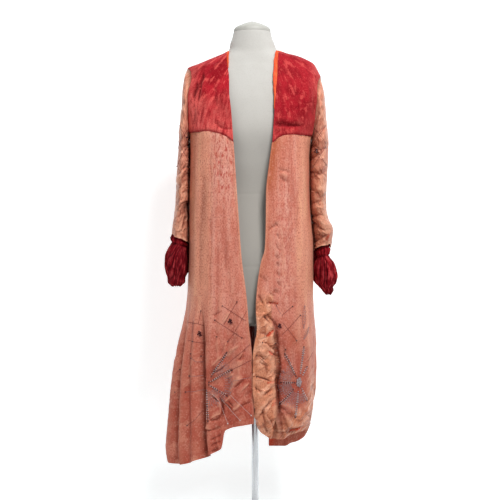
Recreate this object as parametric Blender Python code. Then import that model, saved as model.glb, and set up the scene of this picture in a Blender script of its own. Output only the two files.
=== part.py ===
"""An opera coat, worn open, on a limbless dress form with a pole and a round base.

Metres, +Z up. The front faces -Y and the wearer's left is +X. The origin is on the floor, on the pole's axis.
The coat's body is one surface: horizontal rings from a table of sections, with folds added from a second
table. Each panel is a wall cut from that surface between its own seams.
"""

import math
from collections import namedtuple

import bmesh
import bpy
import numpy as np

RIGHT = -1
LEFT = 1

# Cloth thicknesses and clearances
SILK_WALL = 0.002
VELVET_WALL = 0.002
SLEEVE_WALL = 0.0016
CUFF_WALL = 0.0015
BINDING_WALL = 0.0014
SEAM_GAP = 0.0003
ARMHOLE_GAP = 0.0005
BINDING_GAP = 0.0006

# The form hangs a little to the wearer's right of its pole
FORM_OFFSET_X = -0.005

# Sections of the coat's body: half widths to each side, depths to front and back, squareness of the ring
BodySection = namedtuple("BodySection", "height right left front back square")
BODY_SECTIONS = (
    BodySection(0.170, 0.260, 0.160, 0.145, 0.152, 2.5),
    BodySection(0.300, 0.247, 0.179, 0.143, 0.146, 2.5),
    BodySection(0.430, 0.233, 0.182, 0.140, 0.137, 2.5),
    BodySection(0.550, 0.216, 0.184, 0.138, 0.128, 2.5),
    BodySection(0.690, 0.197, 0.178, 0.135, 0.120, 2.6),
    BodySection(0.820, 0.192, 0.178, 0.134, 0.116, 2.7),
    BodySection(0.966, 0.191, 0.168, 0.133, 0.112, 2.7),
    BodySection(1.080, 0.189, 0.167, 0.131, 0.112, 2.7),
    BodySection(1.155, 0.190, 0.173, 0.128, 0.113, 2.7),
    BodySection(1.180, 0.196, 0.182, 0.125, 0.113, 2.7),
    BodySection(1.220, 0.205, 0.194, 0.118, 0.112, 2.6),
    BodySection(1.280, 0.2145, 0.2055, 0.101, 0.108, 2.5),
    BodySection(1.330, 0.208, 0.2025, 0.083, 0.098, 2.2),
    BodySection(1.345, 0.2035, 0.1965, 0.077, 0.093, 2.1),
    BodySection(1.360, 0.1975, 0.189, 0.070, 0.087, 2.0),
    BodySection(1.372, 0.168, 0.182, 0.064, 0.081, 2.0),
    BodySection(1.385, 0.137, 0.161, 0.060, 0.075, 2.0),
    BodySection(1.395, 0.1125, 0.137, 0.057, 0.070, 2.0),
    BodySection(1.405, 0.0885, 0.097, 0.0545, 0.066, 2.0),
    BodySection(1.418, 0.0700, 0.068, 0.052, 0.061, 2.0),
)

# Front edges of the two fronts, measured across from the coat's middle
FrontEdge = namedtuple("FrontEdge", "height right left")
FRONT_EDGES = (
    FrontEdge(0.200, 0.0005, 0.0030),
    FrontEdge(0.348, 0.0005, 0.0030),
    FrontEdge(0.420, 0.0005, -0.0024),
    FrontEdge(0.506, 0.0005, -0.0024),
    FrontEdge(0.550, -0.0012, 0.0030),
    FrontEdge(0.597, -0.0068, 0.0088),
    FrontEdge(0.649, -0.0143, 0.0059),
    FrontEdge(0.699, -0.0222, 0.0088),
    FrontEdge(0.778, -0.0328, 0.0203),
    FrontEdge(0.819, -0.0366, 0.0318),
    FrontEdge(0.877, -0.0408, 0.0344),
    FrontEdge(0.980, -0.0480, 0.0356),
    FrontEdge(1.066, -0.0540, 0.0451),
    FrontEdge(1.127, -0.0583, 0.0535),
    FrontEdge(1.215, -0.0660, 0.0604),
    FrontEdge(1.262, -0.0725, 0.0649),
    FrontEdge(1.325, -0.0738, 0.0699),
    FrontEdge(1.380, -0.0795, 0.0722),
    FrontEdge(1.405, -0.0805, 0.0745),
)

# Lower edge of the yoke, by angle from the front in degrees
YokeEdge = namedtuple("YokeEdge", "angle height")
YOKE_EDGES = (
    YokeEdge(-180, 1.138), YokeEdge(-160, 1.148), YokeEdge(-140, 1.160), YokeEdge(-120, 1.163),
    YokeEdge(-95, 1.1625), YokeEdge(-90, 1.1545), YokeEdge(-85, 1.1625), YokeEdge(-62, 1.1605),
    YokeEdge(-53, 1.161), YokeEdge(-43, 1.155), YokeEdge(-33, 1.144), YokeEdge(-23, 1.126),
    YokeEdge(0, 1.120),
    YokeEdge(23, 1.126), YokeEdge(31, 1.1414), YokeEdge(37, 1.148), YokeEdge(48, 1.1505),
    YokeEdge(62, 1.1500), YokeEdge(85, 1.1530), YokeEdge(90, 1.1455), YokeEdge(95, 1.1522),
    YokeEdge(100, 1.1526), YokeEdge(120, 1.158), YokeEdge(140, 1.158), YokeEdge(160, 1.148), YokeEdge(180, 1.138),
)

# Height of the hem, by angle from the front in degrees
Hem = namedtuple("Hem", "angle height")
RIGHT_HEM = (
    Hem(-180, 0.278), Hem(-150, 0.270), Hem(-130, 0.240), Hem(-115, 0.220), Hem(-100, 0.212),
    Hem(-90, 0.208), Hem(-82, 0.195), Hem(-75, 0.190), Hem(-65, 0.192), Hem(-58, 0.201),
    Hem(-52, 0.212), Hem(-47, 0.222), Hem(-42, 0.230), Hem(-36, 0.243), Hem(-33.5, 0.272),
    Hem(-31, 0.297), Hem(-19, 0.309), Hem(5, 0.318),
)
LEFT_HEM = (
    Hem(-2, 0.352), Hem(1.5, 0.345), Hem(4.5, 0.307), Hem(8.5, 0.292), Hem(13, 0.284),
    Hem(18, 0.2765), Hem(22, 0.2705), Hem(30, 0.269), Hem(38, 0.268), Hem(43, 0.275),
    Hem(53, 0.280), Hem(60, 0.283), Hem(67, 0.284), Hem(72, 0.284), Hem(76, 0.287),
    Hem(80, 0.298), Hem(85, 0.325), Hem(92, 0.345), Hem(105, 0.335), Hem(130, 0.300), Hem(150, 0.282), Hem(180, 0.278),
)

# How far the hem rolls in, by angle from the front in degrees, and how high above it the roll starts
HemRoll = namedtuple("HemRoll", "angle depth")
RIGHT_ROLL = (HemRoll(-55, 0.0), HemRoll(-45, 0.004), HemRoll(5, 0.006))
LEFT_ROLL = (HemRoll(-5, 0.024), HemRoll(58, 0.028), HemRoll(66, 0.020), HemRoll(74, 0.008), HemRoll(84, 0.0))
ROLL_REACH = 0.06

# Seams of the side flares: angle in degrees of the front and back seam on each side, below the flare's top
FlareSeam = namedtuple("FlareSeam", "height right_front right_back left_front left_back")
FLARE_SEAMS = (
    FlareSeam(0.150, -46.5, -122.0, 79.0, 117.0),
    FlareSeam(0.400, -48.0, -118.0, 80.0, 115.0),
    FlareSeam(0.560, -50.0, -115.0, 81.0, 113.0),
    FlareSeam(0.640, -52.5, -113.0, 81.5, 112.0),
    FlareSeam(0.682, -55.0, -112.0, 82.0, 111.0),
)
FLARE_TOP = 0.682

# Folds: centre angle in degrees at the top and at the hem, height where each starts and is full,
# spread in degrees, and depth, which is positive for a ridge
Fold = namedtuple("Fold", "side top_angle foot_angle top full spread depth")
FOLDS = (
    Fold(RIGHT, 0.0, 0.0, 0.640, 0.540, 6.0, -0.004),
    Fold(RIGHT, -18.0, -16.0, 0.950, 0.500, 5.0, 0.004),
    Fold(RIGHT, -29.0, -30.0, 0.900, 0.450, 4.5, -0.005),
    Fold(RIGHT, -48.0, -44.0, 1.050, 0.550, 4.5, 0.006),
    Fold(RIGHT, -56.5, -48.0, FLARE_TOP, 0.480, 2.8, -0.024),
    Fold(RIGHT, -61.5, -54.5, FLARE_TOP, 0.420, 2.6, 0.008),
    Fold(RIGHT, -65.5, -59.0, FLARE_TOP, 0.400, 2.0, -0.006),
    Fold(RIGHT, -69.0, -63.7, FLARE_TOP, 0.360, 2.8, 0.013),
    Fold(RIGHT, -74.5, -68.3, FLARE_TOP, 0.360, 2.5, -0.014),
    Fold(RIGHT, -82.0, -77.5, FLARE_TOP, 0.360, 5.0, 0.014),
    Fold(RIGHT, -90.0, -90.0, FLARE_TOP, 0.360, 3.5, -0.014),
    Fold(RIGHT, -97.0, -99.0, FLARE_TOP, 0.360, 4.0, 0.012),
    Fold(RIGHT, -103.0, -108.0, FLARE_TOP, 0.360, 3.5, -0.013),
    Fold(RIGHT, -108.0, -115.5, FLARE_TOP, 0.360, 3.5, 0.009),
    Fold(RIGHT, -133.0, -136.0, 0.950, 0.400, 7.0, -0.010),
    Fold(RIGHT, -150.0, -151.0, 0.980, 0.400, 8.0, 0.011),
    Fold(RIGHT, -167.0, -168.0, 0.930, 0.400, 6.0, -0.009),
    Fold(LEFT, 8.0, 9.0, 0.740, 0.500, 9.5, 0.014),
    Fold(LEFT, 25.0, 29.5, 0.640, 0.500, 3.8, -0.019),
    Fold(LEFT, 34.0, 37.0, 0.640, 0.450, 5.0, 0.006),
    Fold(LEFT, 58.0, 56.0, 0.800, 0.500, 6.0, 0.003),
    Fold(LEFT, 86.5, 84.0, FLARE_TOP, 0.450, 3.0, -0.008),
    Fold(LEFT, 92.5, 93.0, FLARE_TOP, 0.450, 3.5, 0.006),
    Fold(LEFT, 98.5, 102.0, FLARE_TOP, 0.450, 3.0, -0.008),
    Fold(LEFT, 104.0, 110.0, FLARE_TOP, 0.450, 3.5, 0.005),
    Fold(LEFT, 130.0, 132.0, 0.950, 0.400, 7.0, -0.009),
    Fold(LEFT, 147.0, 148.0, 0.990, 0.400, 8.0, 0.010),
    Fold(LEFT, 165.0, 166.0, 0.940, 0.400, 6.0, -0.008),
)
FOLD_FOOT = 0.200

# Levels of the body's rows between the yoke and the hem, and shares of the way from the last level to the hem
BODY_LEVELS = (1.09, 1.03, 0.96, 0.88, 0.80, 0.74, FLARE_TOP, 0.64, 0.57, 0.49, 0.41)
HEM_SHARES = (0.3, 0.6, 0.85, 1.0)
BODY_ROWS = 1 + len(BODY_LEVELS) + len(HEM_SHARES)
FLARE_FIRST_ROW = 1 + BODY_LEVELS.index(FLARE_TOP)

# Cells across the panels: up to the line of the flare's seam, and beside it above the flare
FRONT_CELLS = 17
BACK_CELLS = 18
SIDE_CELLS = 4

# A deep groove in a front has a column in its bottom, this share of the way across the front's cells
DEEP_GROOVE = 0.018
GROOVE_SHARE = 0.3

# Angle in radians, to each side of the middle, at which a row's height gives the front edge its place
FRONT_CORNER = 0.02

# Armholes: an oval in side view, with its corners on the rows of the yoke
Armhole = namedtuple("Armhole", "top foot half_depth")
ARMHOLES = {RIGHT: Armhole(1.360, 1.155, 0.058), LEFT: Armhole(1.335, 1.146, 0.057)}
ARMHOLE_POWER = 2.2
ARMHOLE_STEPS = 8
SHOULDER_SHARES = (0.2, 0.42, 0.64, 0.84, 1.0)
NECK_HEIGHT = 1.405
BACK_NECK_RISE = 0.007

# Orange binding: width along the right front, round the back neck and down the left front
Binding = namedtuple("Binding", "height width")
RIGHT_BINDING = (Binding(1.350, 0.0020), Binding(1.372, 0.0050), Binding(1.397, 0.0070))
BACK_BINDING_WIDTH = 0.008
LEFT_BINDING = (Binding(1.225, 0.0020), Binding(1.262, 0.0050), Binding(1.290, 0.0085), Binding(1.325, 0.0120),
                Binding(1.365, 0.0120), Binding(1.397, 0.0090))
BINDING_STEP = 0.011
BACK_NECK_STEPS = 16

# Hem band below the left front: angle in degrees, radius and height of its lower edge
BandSection = namedtuple("BandSection", "angle radius foot")
HEM_BAND = (
    BandSection(30, 0.0905, 0.2430), BandSection(40, 0.1000, 0.2425), BandSection(50, 0.1200, 0.2425),
    BandSection(57, 0.1320, 0.2505), BandSection(64, 0.1450, 0.2535), BandSection(70, 0.1570, 0.2510),
    BandSection(74, 0.1655, 0.2540), BandSection(78, 0.1729, 0.2610),
)
BAND_TURNING = 0.012
BAND_CELLS = 14

# Sleeves: outer and inner edge in front view, half depth and middle in side view, from the armhole down
SleeveSection = namedtuple("SleeveSection", "outer outer_height inner inner_height half_depth middle")
SLEEVES = {
    RIGHT: (
        SleeveSection(0.2045, 1.342, 0.1930, 1.1520, 0.060, 0.000),
        SleeveSection(0.2115, 1.300, 0.1945, 1.1470, 0.063, 0.000),
        SleeveSection(0.2165, 1.240, 0.1950, 1.1380, 0.066, 0.000),
        SleeveSection(0.2205, 1.185, 0.1955, 1.1220, 0.067, -0.001),
        SleeveSection(0.2245, 1.120, 0.1960, 1.0900, 0.067, -0.002),
        SleeveSection(0.2285, 1.050, 0.1965, 1.0400, 0.065, -0.004),
        SleeveSection(0.2320, 0.985, 0.1965, 0.9850, 0.063, -0.006),
        SleeveSection(0.2370, 0.920, 0.1970, 0.9200, 0.060, -0.006),
        SleeveSection(0.2430, 0.882, 0.1975, 0.8820, 0.056, -0.006),
        SleeveSection(0.2440, 0.8605, 0.1985, 0.8605, 0.050, -0.006),
    ),
    LEFT: (
        SleeveSection(0.2030, 1.322, 0.1790, 1.1480, 0.059, 0.000),
        SleeveSection(0.2125, 1.280, 0.1785, 1.1420, 0.063, 0.000),
        SleeveSection(0.2185, 1.205, 0.1775, 1.1320, 0.067, 0.000),
        SleeveSection(0.2245, 1.140, 0.1765, 1.1120, 0.068, -0.001),
        SleeveSection(0.2230, 1.080, 0.1750, 1.0700, 0.068, -0.002),
        SleeveSection(0.2195, 1.020, 0.1745, 1.0200, 0.066, -0.003),
        SleeveSection(0.2172, 0.950, 0.1770, 0.9500, 0.064, -0.004),
        SleeveSection(0.2230, 0.910, 0.1810, 0.9100, 0.062, -0.004),
        SleeveSection(0.2385, 0.872, 0.1850, 0.8720, 0.060, -0.004),
        SleeveSection(0.2350, 0.845, 0.1870, 0.8450, 0.053, -0.004),
        SleeveSection(0.2300, 0.8265, 0.1880, 0.8265, 0.046, -0.004),
    ),
}
SLEEVE_RING = 2 * ARMHOLE_STEPS

# Cuffs: middle and half sizes of each section, and the height of the gathers' waves there
CuffSection = namedtuple("CuffSection", "height middle half_width half_depth wave")
CUFFS = {
    RIGHT: (
        CuffSection(0.7080, 0.2310, 0.0190, 0.030, 0.0018),
        CuffSection(0.7200, 0.2310, 0.0250, 0.040, 0.0018),
        CuffSection(0.7340, 0.2310, 0.0262, 0.042, 0.0012),
        CuffSection(0.7500, 0.2310, 0.0310, 0.050, 0.0018),
        CuffSection(0.7700, 0.2320, 0.0330, 0.055, 0.0022),
        CuffSection(0.7960, 0.2320, 0.0320, 0.054, 0.0022),
        CuffSection(0.8200, 0.2280, 0.0275, 0.047, 0.0018),
        CuffSection(0.8380, 0.2240, 0.0222, 0.039, 0.0012),
        CuffSection(0.8600, 0.2230, 0.0245, 0.046, 0.0018),
    ),
    LEFT: (
        CuffSection(0.6830, 0.2235, 0.0110, 0.020, 0.0014),
        CuffSection(0.6970, 0.2215, 0.0160, 0.027, 0.0014),
        CuffSection(0.7060, 0.2165, 0.0200, 0.036, 0.0012),
        CuffSection(0.7180, 0.2160, 0.0290, 0.048, 0.0020),
        CuffSection(0.7390, 0.2170, 0.0320, 0.054, 0.0022),
        CuffSection(0.7580, 0.2150, 0.0305, 0.053, 0.0022),
        CuffSection(0.7780, 0.2130, 0.0260, 0.046, 0.0018),
        CuffSection(0.7980, 0.2090, 0.0172, 0.034, 0.0012),
        CuffSection(0.8260, 0.2090, 0.0195, 0.041, 0.0018),
    ),
}
CUFF_MIDDLE_Y = -0.005
CUFF_GATHERS = 16
CUFF_RING = 3 * CUFF_GATHERS

# Dress form, neck cap, pole and base
FormSection = namedtuple("FormSection", "height half_width front back")
FORM_TRUNK = (
    FormSection(0.5940, 0.146, 0.095, 0.100),
    FormSection(0.6000, 0.152, 0.100, 0.105),
    FormSection(0.6200, 0.157, 0.103, 0.109),
    FormSection(0.7000, 0.163, 0.106, 0.111),
    FormSection(0.7800, 0.163, 0.105, 0.108),
    FormSection(0.8800, 0.147, 0.096, 0.096),
    FormSection(0.9850, 0.124, 0.087, 0.084),
    FormSection(1.0800, 0.135, 0.099, 0.088),
    FormSection(1.1700, 0.150, 0.115, 0.094),
    FormSection(1.2500, 0.162, 0.103, 0.097),
    FormSection(1.3050, 0.176, 0.085, 0.092),
    FormSection(1.3400, 0.184, 0.073, 0.086),
)
FORM_NECK = (
    FormSection(1.4120, 0.0725, 0.0495, 0.0570),
    FormSection(1.4200, 0.0665, 0.0490, 0.0560),
    FormSection(1.4320, 0.0625, 0.0480, 0.0545),
    FormSection(1.4550, 0.0575, 0.0470, 0.0530),
    FormSection(1.4760, 0.0555, 0.0465, 0.0525),
)
SHOULDER_LEVELS = (1.357, 1.369, 1.382, 1.392, 1.402)
SHOULDER_SEAT = 0.0023
FORM_SQUARE = 2.2
NECK_SQUARE = 2.0
FORM_RING = 32
CAP_HEIGHT = 0.027
CAP_RIM = 0.0012
CAP_STEPS = 5
POLE_RADIUS = 0.0105
BASE_RADIUS = 0.190
BASE_PROFILE = ((0.0, 0.0), (BASE_RADIUS, 0.0), (BASE_RADIUS, 0.005), (0.184, 0.011), (0.070, 0.016),
                (0.030, 0.020), (0.024, 0.030), (0.022, 0.045), (0.0, 0.045))
BASE_RING = 40
POLE_RING = 20

# Colours (linear) with roughness and metallic value
SALMON_SILK = ("salmon silk velvet", (0.60, 0.22, 0.16), 0.55, 0.0)
CRIMSON_VELVET = ("crimson velvet", (0.50, 0.035, 0.045), 0.80, 0.0)
DARK_VELVET = ("dark crimson velvet", (0.16, 0.012, 0.016), 0.75, 0.0)
ORANGE_SATIN = ("orange satin", (0.85, 0.16, 0.05), 0.40, 0.0)
GREY_JERSEY = ("grey jersey", (0.60, 0.58, 0.55), 0.85, 0.0)
PALE_CAP = ("painted neck cap", (0.72, 0.72, 0.69), 0.40, 0.0)
CHROME = ("chromed steel", (0.78, 0.79, 0.80), 0.15, 1.0)
PAINTED_STEEL = ("grey painted steel", (0.45, 0.45, 0.45), 0.35, 0.0)


def clear_scene():
    for item in list(bpy.data.objects):
        bpy.data.objects.remove(item, do_unlink=True)


def material(finish):
    name, colour, roughness, metallic = finish
    found = bpy.data.materials.get(name)
    if found:
        return found
    made = bpy.data.materials.new(name)
    made.use_nodes = True
    shader = made.node_tree.nodes["Principled BSDF"]
    shader.inputs["Base Color"].default_value = (*colour, 1.0)
    shader.inputs["Roughness"].default_value = roughness
    shader.inputs["Metallic"].default_value = metallic
    return made


def solid(name, points, faces, finish):
    """A closed mesh object from points and faces, with its faces turned outwards."""
    mesh = bpy.data.meshes.new(name)
    mesh.from_pydata([tuple(point) for point in points], [], faces)
    work = bmesh.new()
    work.from_mesh(mesh)
    bmesh.ops.recalc_face_normals(work, faces=work.faces)
    if work.calc_volume(signed=True) < 0:
        bmesh.ops.reverse_faces(work, faces=work.faces)
    work.to_mesh(mesh)
    work.free()
    mesh.shade_smooth()
    mesh.set_sharp_from_angle(angle=math.radians(50))
    mesh.materials.append(material(finish))
    made = bpy.data.objects.new(name, mesh)
    bpy.context.scene.collection.objects.link(made)
    return made


def wall(name, outer, inner, finish, closed_ring=False, present=None):
    """A wall between two grids of points with its rims. A closed ring joins the last column to the first,
    and a mask of present cells leaves the others out."""
    rows, columns = outer.shape[:2]
    count = rows * columns
    spans = columns if closed_ring else columns - 1
    if present is None:
        present = np.ones((rows - 1, spans), bool)

    def outside(row, column):
        return row * columns + column % columns

    def inside(row, column):
        return count + outside(row, column)

    def has_cell(row, column):
        if closed_ring:
            column %= spans
        return 0 <= row < rows - 1 and 0 <= column < spans and present[row, column]

    faces = []
    for row, column in zip(*np.nonzero(present)):
        corners = ((row, column), (row, column + 1), (row + 1, column + 1), (row + 1, column))
        beside = ((row - 1, column), (row, column + 1), (row + 1, column), (row, column - 1))
        faces.append([outside(*corner) for corner in corners])
        faces.append([inside(*corner) for corner in reversed(corners)])
        for start, end, neighbour in zip(corners, corners[1:] + corners[:1], beside):
            if not has_cell(*neighbour):
                faces.append([outside(*start), outside(*end), inside(*end), inside(*start)])
    points = np.concatenate([outer.reshape(-1, 3), inner.reshape(-1, 3)])
    used = sorted({index for face in faces for index in face})
    place = {index: order for order, index in enumerate(used)}
    return solid(name, points[used], [[place[index] for index in face] for face in faces], finish)


def stack(name, rings, finish):
    """A closed body through a stack of rings, with a flat cap at each end."""
    rows, columns = rings.shape[:2]
    faces = []
    for row in range(rows - 1):
        for column in range(columns):
            after = (column + 1) % columns
            faces.append([row * columns + column, row * columns + after,
                          (row + 1) * columns + after, (row + 1) * columns + column])
    faces.append(list(range(columns)))
    faces.append(list(range((rows - 1) * columns, rows * columns)))
    return solid(name, rings.reshape(-1, 3), faces, finish)


def through(knots, values, at):
    """A smooth curve through the rows of a table, which never passes beyond them."""
    knots, values = np.asarray(knots, float), np.asarray(values, float)
    at = np.clip(np.asarray(at, float), knots[0], knots[-1])
    step = np.diff(knots)
    rise = np.diff(values) / step
    tangent = np.zeros_like(values)
    tangent[0], tangent[-1] = rise[0], rise[-1]
    product = rise[:-1] * rise[1:]
    total = np.where(product > 0, rise[:-1] + rise[1:], 1.0)
    tangent[1:-1] = np.where(product > 0, 2 * product / total, 0.0)
    span = np.clip(np.searchsorted(knots, at, side="right") - 1, 0, len(step) - 1)
    share = (at - knots[span]) / step[span]
    left_over = 1 - share
    return ((1 + 2 * share) * left_over**2 * values[span] + share * left_over**2 * step[span] * tangent[span]
            + share**2 * (3 - 2 * share) * values[span + 1]
            - share**2 * left_over * step[span] * tangent[span + 1])


def column(table, field):
    return [getattr(row, field) for row in table]


def along(table, field, height):
    return through(column(table, "height"), column(table, field), height)


def smooth(share):
    share = np.clip(share, 0.0, 1.0)
    return share * share * (3 - 2 * share)


def by_angle(table, field, angle):
    return through(column(table, "angle"), column(table, field), np.degrees(angle))


def wrapped(angle):
    return (angle + math.pi) % (2 * math.pi) - math.pi


def hem_height(angle, side):
    turned = wrapped(angle)
    return np.where(side < 0, by_angle(RIGHT_HEM, "height", np.where(turned > 1.0, -math.pi, turned)),
                    by_angle(LEFT_HEM, "height", np.where(turned < -1.0, math.pi, turned)))


def hem_roll(angle, height, side):
    """How far the cloth rolls in towards the legs just above its hem."""
    turned = wrapped(angle)
    depth = np.where(side < 0, by_angle(RIGHT_ROLL, "depth", np.where(turned > 1.0, -math.pi, turned)),
                     by_angle(LEFT_ROLL, "depth", np.where(turned < -1.0, math.pi, turned)))
    rest = np.clip((height - hem_height(angle, side)) / ROLL_REACH, 0.0, 1.0)
    return depth * (1 - rest) ** 2


def fold_height(angle, height, side):
    total = np.zeros_like(angle)
    for fold in FOLDS:
        way = np.clip((fold.top - height) / (fold.top - FOLD_FOOT), 0.0, 1.0)
        centre = np.radians(fold.top_angle + (fold.foot_angle - fold.top_angle) * way)
        across = wrapped(angle - centre) / math.radians(fold.spread)
        growth = smooth((fold.top - height) / (fold.top - fold.full))
        total = total + np.where(side * fold.side > 0, fold.depth * growth * np.exp(-across**2), 0.0)
    return total


def ring_sizes(angle, height):
    half = np.where(np.sin(angle) < 0, along(BODY_SECTIONS, "right", height),
                    along(BODY_SECTIONS, "left", height))
    depth = np.where(np.cos(angle) > 0, along(BODY_SECTIONS, "front", height),
                     along(BODY_SECTIONS, "back", height))
    return half, depth, along(BODY_SECTIONS, "square", height)


def plain_radius(angle, height, side):
    """Radius of the coat's ring with its rolled hem and no folds."""
    half, depth, square = ring_sizes(angle, height)
    ring = (np.abs(np.sin(angle) / half) ** square + np.abs(np.cos(angle) / depth) ** square) ** (-1 / square)
    return ring - hem_roll(angle, height, side)


def around(radius, angle, height):
    return np.stack([FORM_OFFSET_X + radius * np.sin(angle), -radius * np.cos(angle), height], axis=-1)


def coat_point(angle, height, side):
    """A point of the coat's outer face, by angle from the front (towards the wearer's left) and height."""
    angle, height = np.broadcast_arrays(np.asarray(angle, float), np.asarray(height, float))
    return around(plain_radius(angle, height, side) + fold_height(angle, height, side), angle, height)


def coat_normal(angle, height, side, step=2e-4):
    across = coat_point(angle + step, height, side) - coat_point(angle - step, height, side)
    upward = coat_point(angle, height + step, side) - coat_point(angle, height - step, side)
    normal = np.cross(across, upward)
    return normal / np.linalg.norm(normal, axis=-1, keepdims=True)


def edge_angle(across, height):
    """Angle of the point of the coat's front that lies a distance across from its middle."""
    half = np.where(across < 0, along(BODY_SECTIONS, "right", height), along(BODY_SECTIONS, "left", height))
    square = along(BODY_SECTIONS, "square", height)
    share = np.clip(1 - np.abs(across / half) ** square, 0.0, 1.0) ** (1 / square)
    return np.arctan2(across, along(BODY_SECTIONS, "front", height) * share)


def front_edge(side, height):
    return edge_angle(along(FRONT_EDGES, "right" if side < 0 else "left", height), height)


def armhole_level(side, step):
    hole = ARMHOLES[side]
    return (hole.top + hole.foot) / 2 + (hole.top - hole.foot) / 2 * math.cos(math.pi * step / ARMHOLE_STEPS)


def armhole_depth(side, step, inset=0.0):
    hole = ARMHOLES[side]
    share = (1 - abs(math.cos(math.pi * step / ARMHOLE_STEPS)) ** ARMHOLE_POWER) ** (1 / ARMHOLE_POWER)
    return max(hole.half_depth - inset, 0.0) * share


def side_x(side, depth, height):
    """Distance across of the coat's side at a depth in front of or behind its middle, with a plain ring."""
    half = along(BODY_SECTIONS, "right" if side < 0 else "left", height)
    reach = along(BODY_SECTIONS, "front" if depth < 0 else "back", height)
    square = along(BODY_SECTIONS, "square", height)
    return side * half * (1 - (abs(depth) / reach) ** square) ** (1 / square)


def armhole_angle(side, step, behind):
    depth = armhole_depth(side, step) * (1 if behind else -1)
    return math.atan2(side_x(side, depth, armhole_level(side, step)), -depth)


def yoke_edge(angle):
    return by_angle(YOKE_EDGES, "height", wrapped(angle))


def row_height(row, angle, side):
    """Height of a row of the body at an angle: the yoke's seam, a level, or part of the way to the hem."""
    if row == 0:
        return yoke_edge(angle) - SEAM_GAP
    if row <= len(BODY_LEVELS):
        return np.full_like(angle, BODY_LEVELS[row - 1])
    share = HEM_SHARES[row - 1 - len(BODY_LEVELS)]
    return BODY_LEVELS[-1] + (hem_height(angle, side) - BODY_LEVELS[-1]) * share


def flare_seam(row, side, behind):
    """Angle of a flare's seam on a row of the body; its line runs straight up above the flare."""
    field = ("right" if side < 0 else "left") + ("_back" if behind else "_front")
    foot_angle = math.radians(getattr(FLARE_SEAMS[0], field))
    height = row_height(row, np.array(foot_angle), side)
    return math.radians(float(along(FLARE_SEAMS, field, height)))


def snapped(start, stop, centres, cells, picks):
    """Columns from start to stop, evenly spaced but for the picked ones, which lie on the folds' centres."""
    return np.interp(np.arange(cells + 1), [0, *picks, cells], [start, *centres, stop])


def half_gap(angle, height, side):
    point = coat_point(angle, height, side)
    return SEAM_GAP / 2 / math.hypot(point[0] - FORM_OFFSET_X, point[1])


def panel_wall(name, angles, heights, side, thickness, finish, present=None):
    outer = coat_point(angles, heights, side)
    inner = outer - thickness * coat_normal(angles, heights, side)
    return wall(name, outer, inner, finish, present=present)


def front_columns(row, side):
    """Angles of a front's columns on a row: evenly to the armhole on the yoke's seam, else by the flare's seam."""
    level = float(row_height(row, np.array(FRONT_CORNER * side), side))
    start = float(front_edge(side, level))
    side_seam = side * math.pi / 2
    if row == 0:
        armhole = armhole_angle(side, ARMHOLE_STEPS - 1, behind=False)
        return np.append(np.linspace(start, armhole, FRONT_CELLS + SIDE_CELLS), side_seam)
    seam = flare_seam(row, side, behind=False)
    centres = [fold_centre(fold, level) for fold in FOLDS
               if fold.side == side and fold.depth < -DEEP_GROOVE and fold.top < FLARE_TOP]
    picks = [round(FRONT_CELLS * GROOVE_SHARE) for _ in centres]
    return np.append(snapped(start, seam, centres, FRONT_CELLS, picks),
                     np.linspace(seam, side_seam, SIDE_CELLS + 1)[1:])


def back_columns(row):
    """Angles of the back's columns on a row, from the left side seam round to the right one."""
    if row == 0:
        left = armhole_angle(LEFT, ARMHOLE_STEPS - 1, behind=True)
        right = armhole_angle(RIGHT, ARMHOLE_STEPS - 1, behind=True) % (2 * math.pi)
        between = np.linspace(left, right, 2 * SIDE_CELLS + BACK_CELLS - 1)
        return np.concatenate([[math.pi / 2], between, [1.5 * math.pi]])
    left = flare_seam(row, LEFT, behind=True)
    right = flare_seam(row, RIGHT, behind=True) % (2 * math.pi)
    return np.concatenate([np.linspace(math.pi / 2, left, SIDE_CELLS + 1)[:-1],
                           np.linspace(left, right, BACK_CELLS + 1),
                           np.linspace(right, 1.5 * math.pi, SIDE_CELLS + 1)[1:]])


def fold_centre(fold, height):
    way = np.clip((fold.top - height) / (fold.top - FOLD_FOOT), 0.0, 1.0)
    return math.radians(fold.top_angle + (fold.foot_angle - fold.top_angle) * float(way))


def coat_front(name, side):
    angles, heights = [], []
    for row in range(BODY_ROWS):
        line = front_columns(row, side)
        level = row_height(row, line, side)
        line[-1] -= side * half_gap(line[-1], level[-1], side)
        if row >= FLARE_FIRST_ROW:
            line[FRONT_CELLS] -= side * half_gap(line[FRONT_CELLS], level[FRONT_CELLS], side)
        angles.append(line)
        heights.append(level)
    present = np.ones((BODY_ROWS - 1, FRONT_CELLS + SIDE_CELLS), bool)
    present[FLARE_FIRST_ROW:, FRONT_CELLS:] = False
    panel_wall(name, np.array(angles), np.array(heights), side, SILK_WALL, SALMON_SILK, present)


def coat_back():
    last = SIDE_CELLS + BACK_CELLS
    angles, heights, sides = [], [], []
    for row in range(BODY_ROWS):
        line = back_columns(row)
        side = np.where(line <= math.pi, LEFT, RIGHT)
        level = row_height(row, line, side)
        line[0] += half_gap(line[0], level[0], LEFT)
        line[-1] -= half_gap(line[-1], level[-1], RIGHT)
        if row >= FLARE_FIRST_ROW:
            line[SIDE_CELLS] += half_gap(line[SIDE_CELLS], level[SIDE_CELLS], LEFT)
            line[last] -= half_gap(line[last], level[last], RIGHT)
        angles.append(line)
        heights.append(level)
        sides.append(side)
    present = np.ones((BODY_ROWS - 1, last + SIDE_CELLS), bool)
    present[FLARE_FIRST_ROW:, :SIDE_CELLS] = False
    present[FLARE_FIRST_ROW:, last:] = False
    panel_wall("coat_back", np.array(angles), np.array(heights), np.array(sides), SILK_WALL, SALMON_SILK, present)


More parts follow.
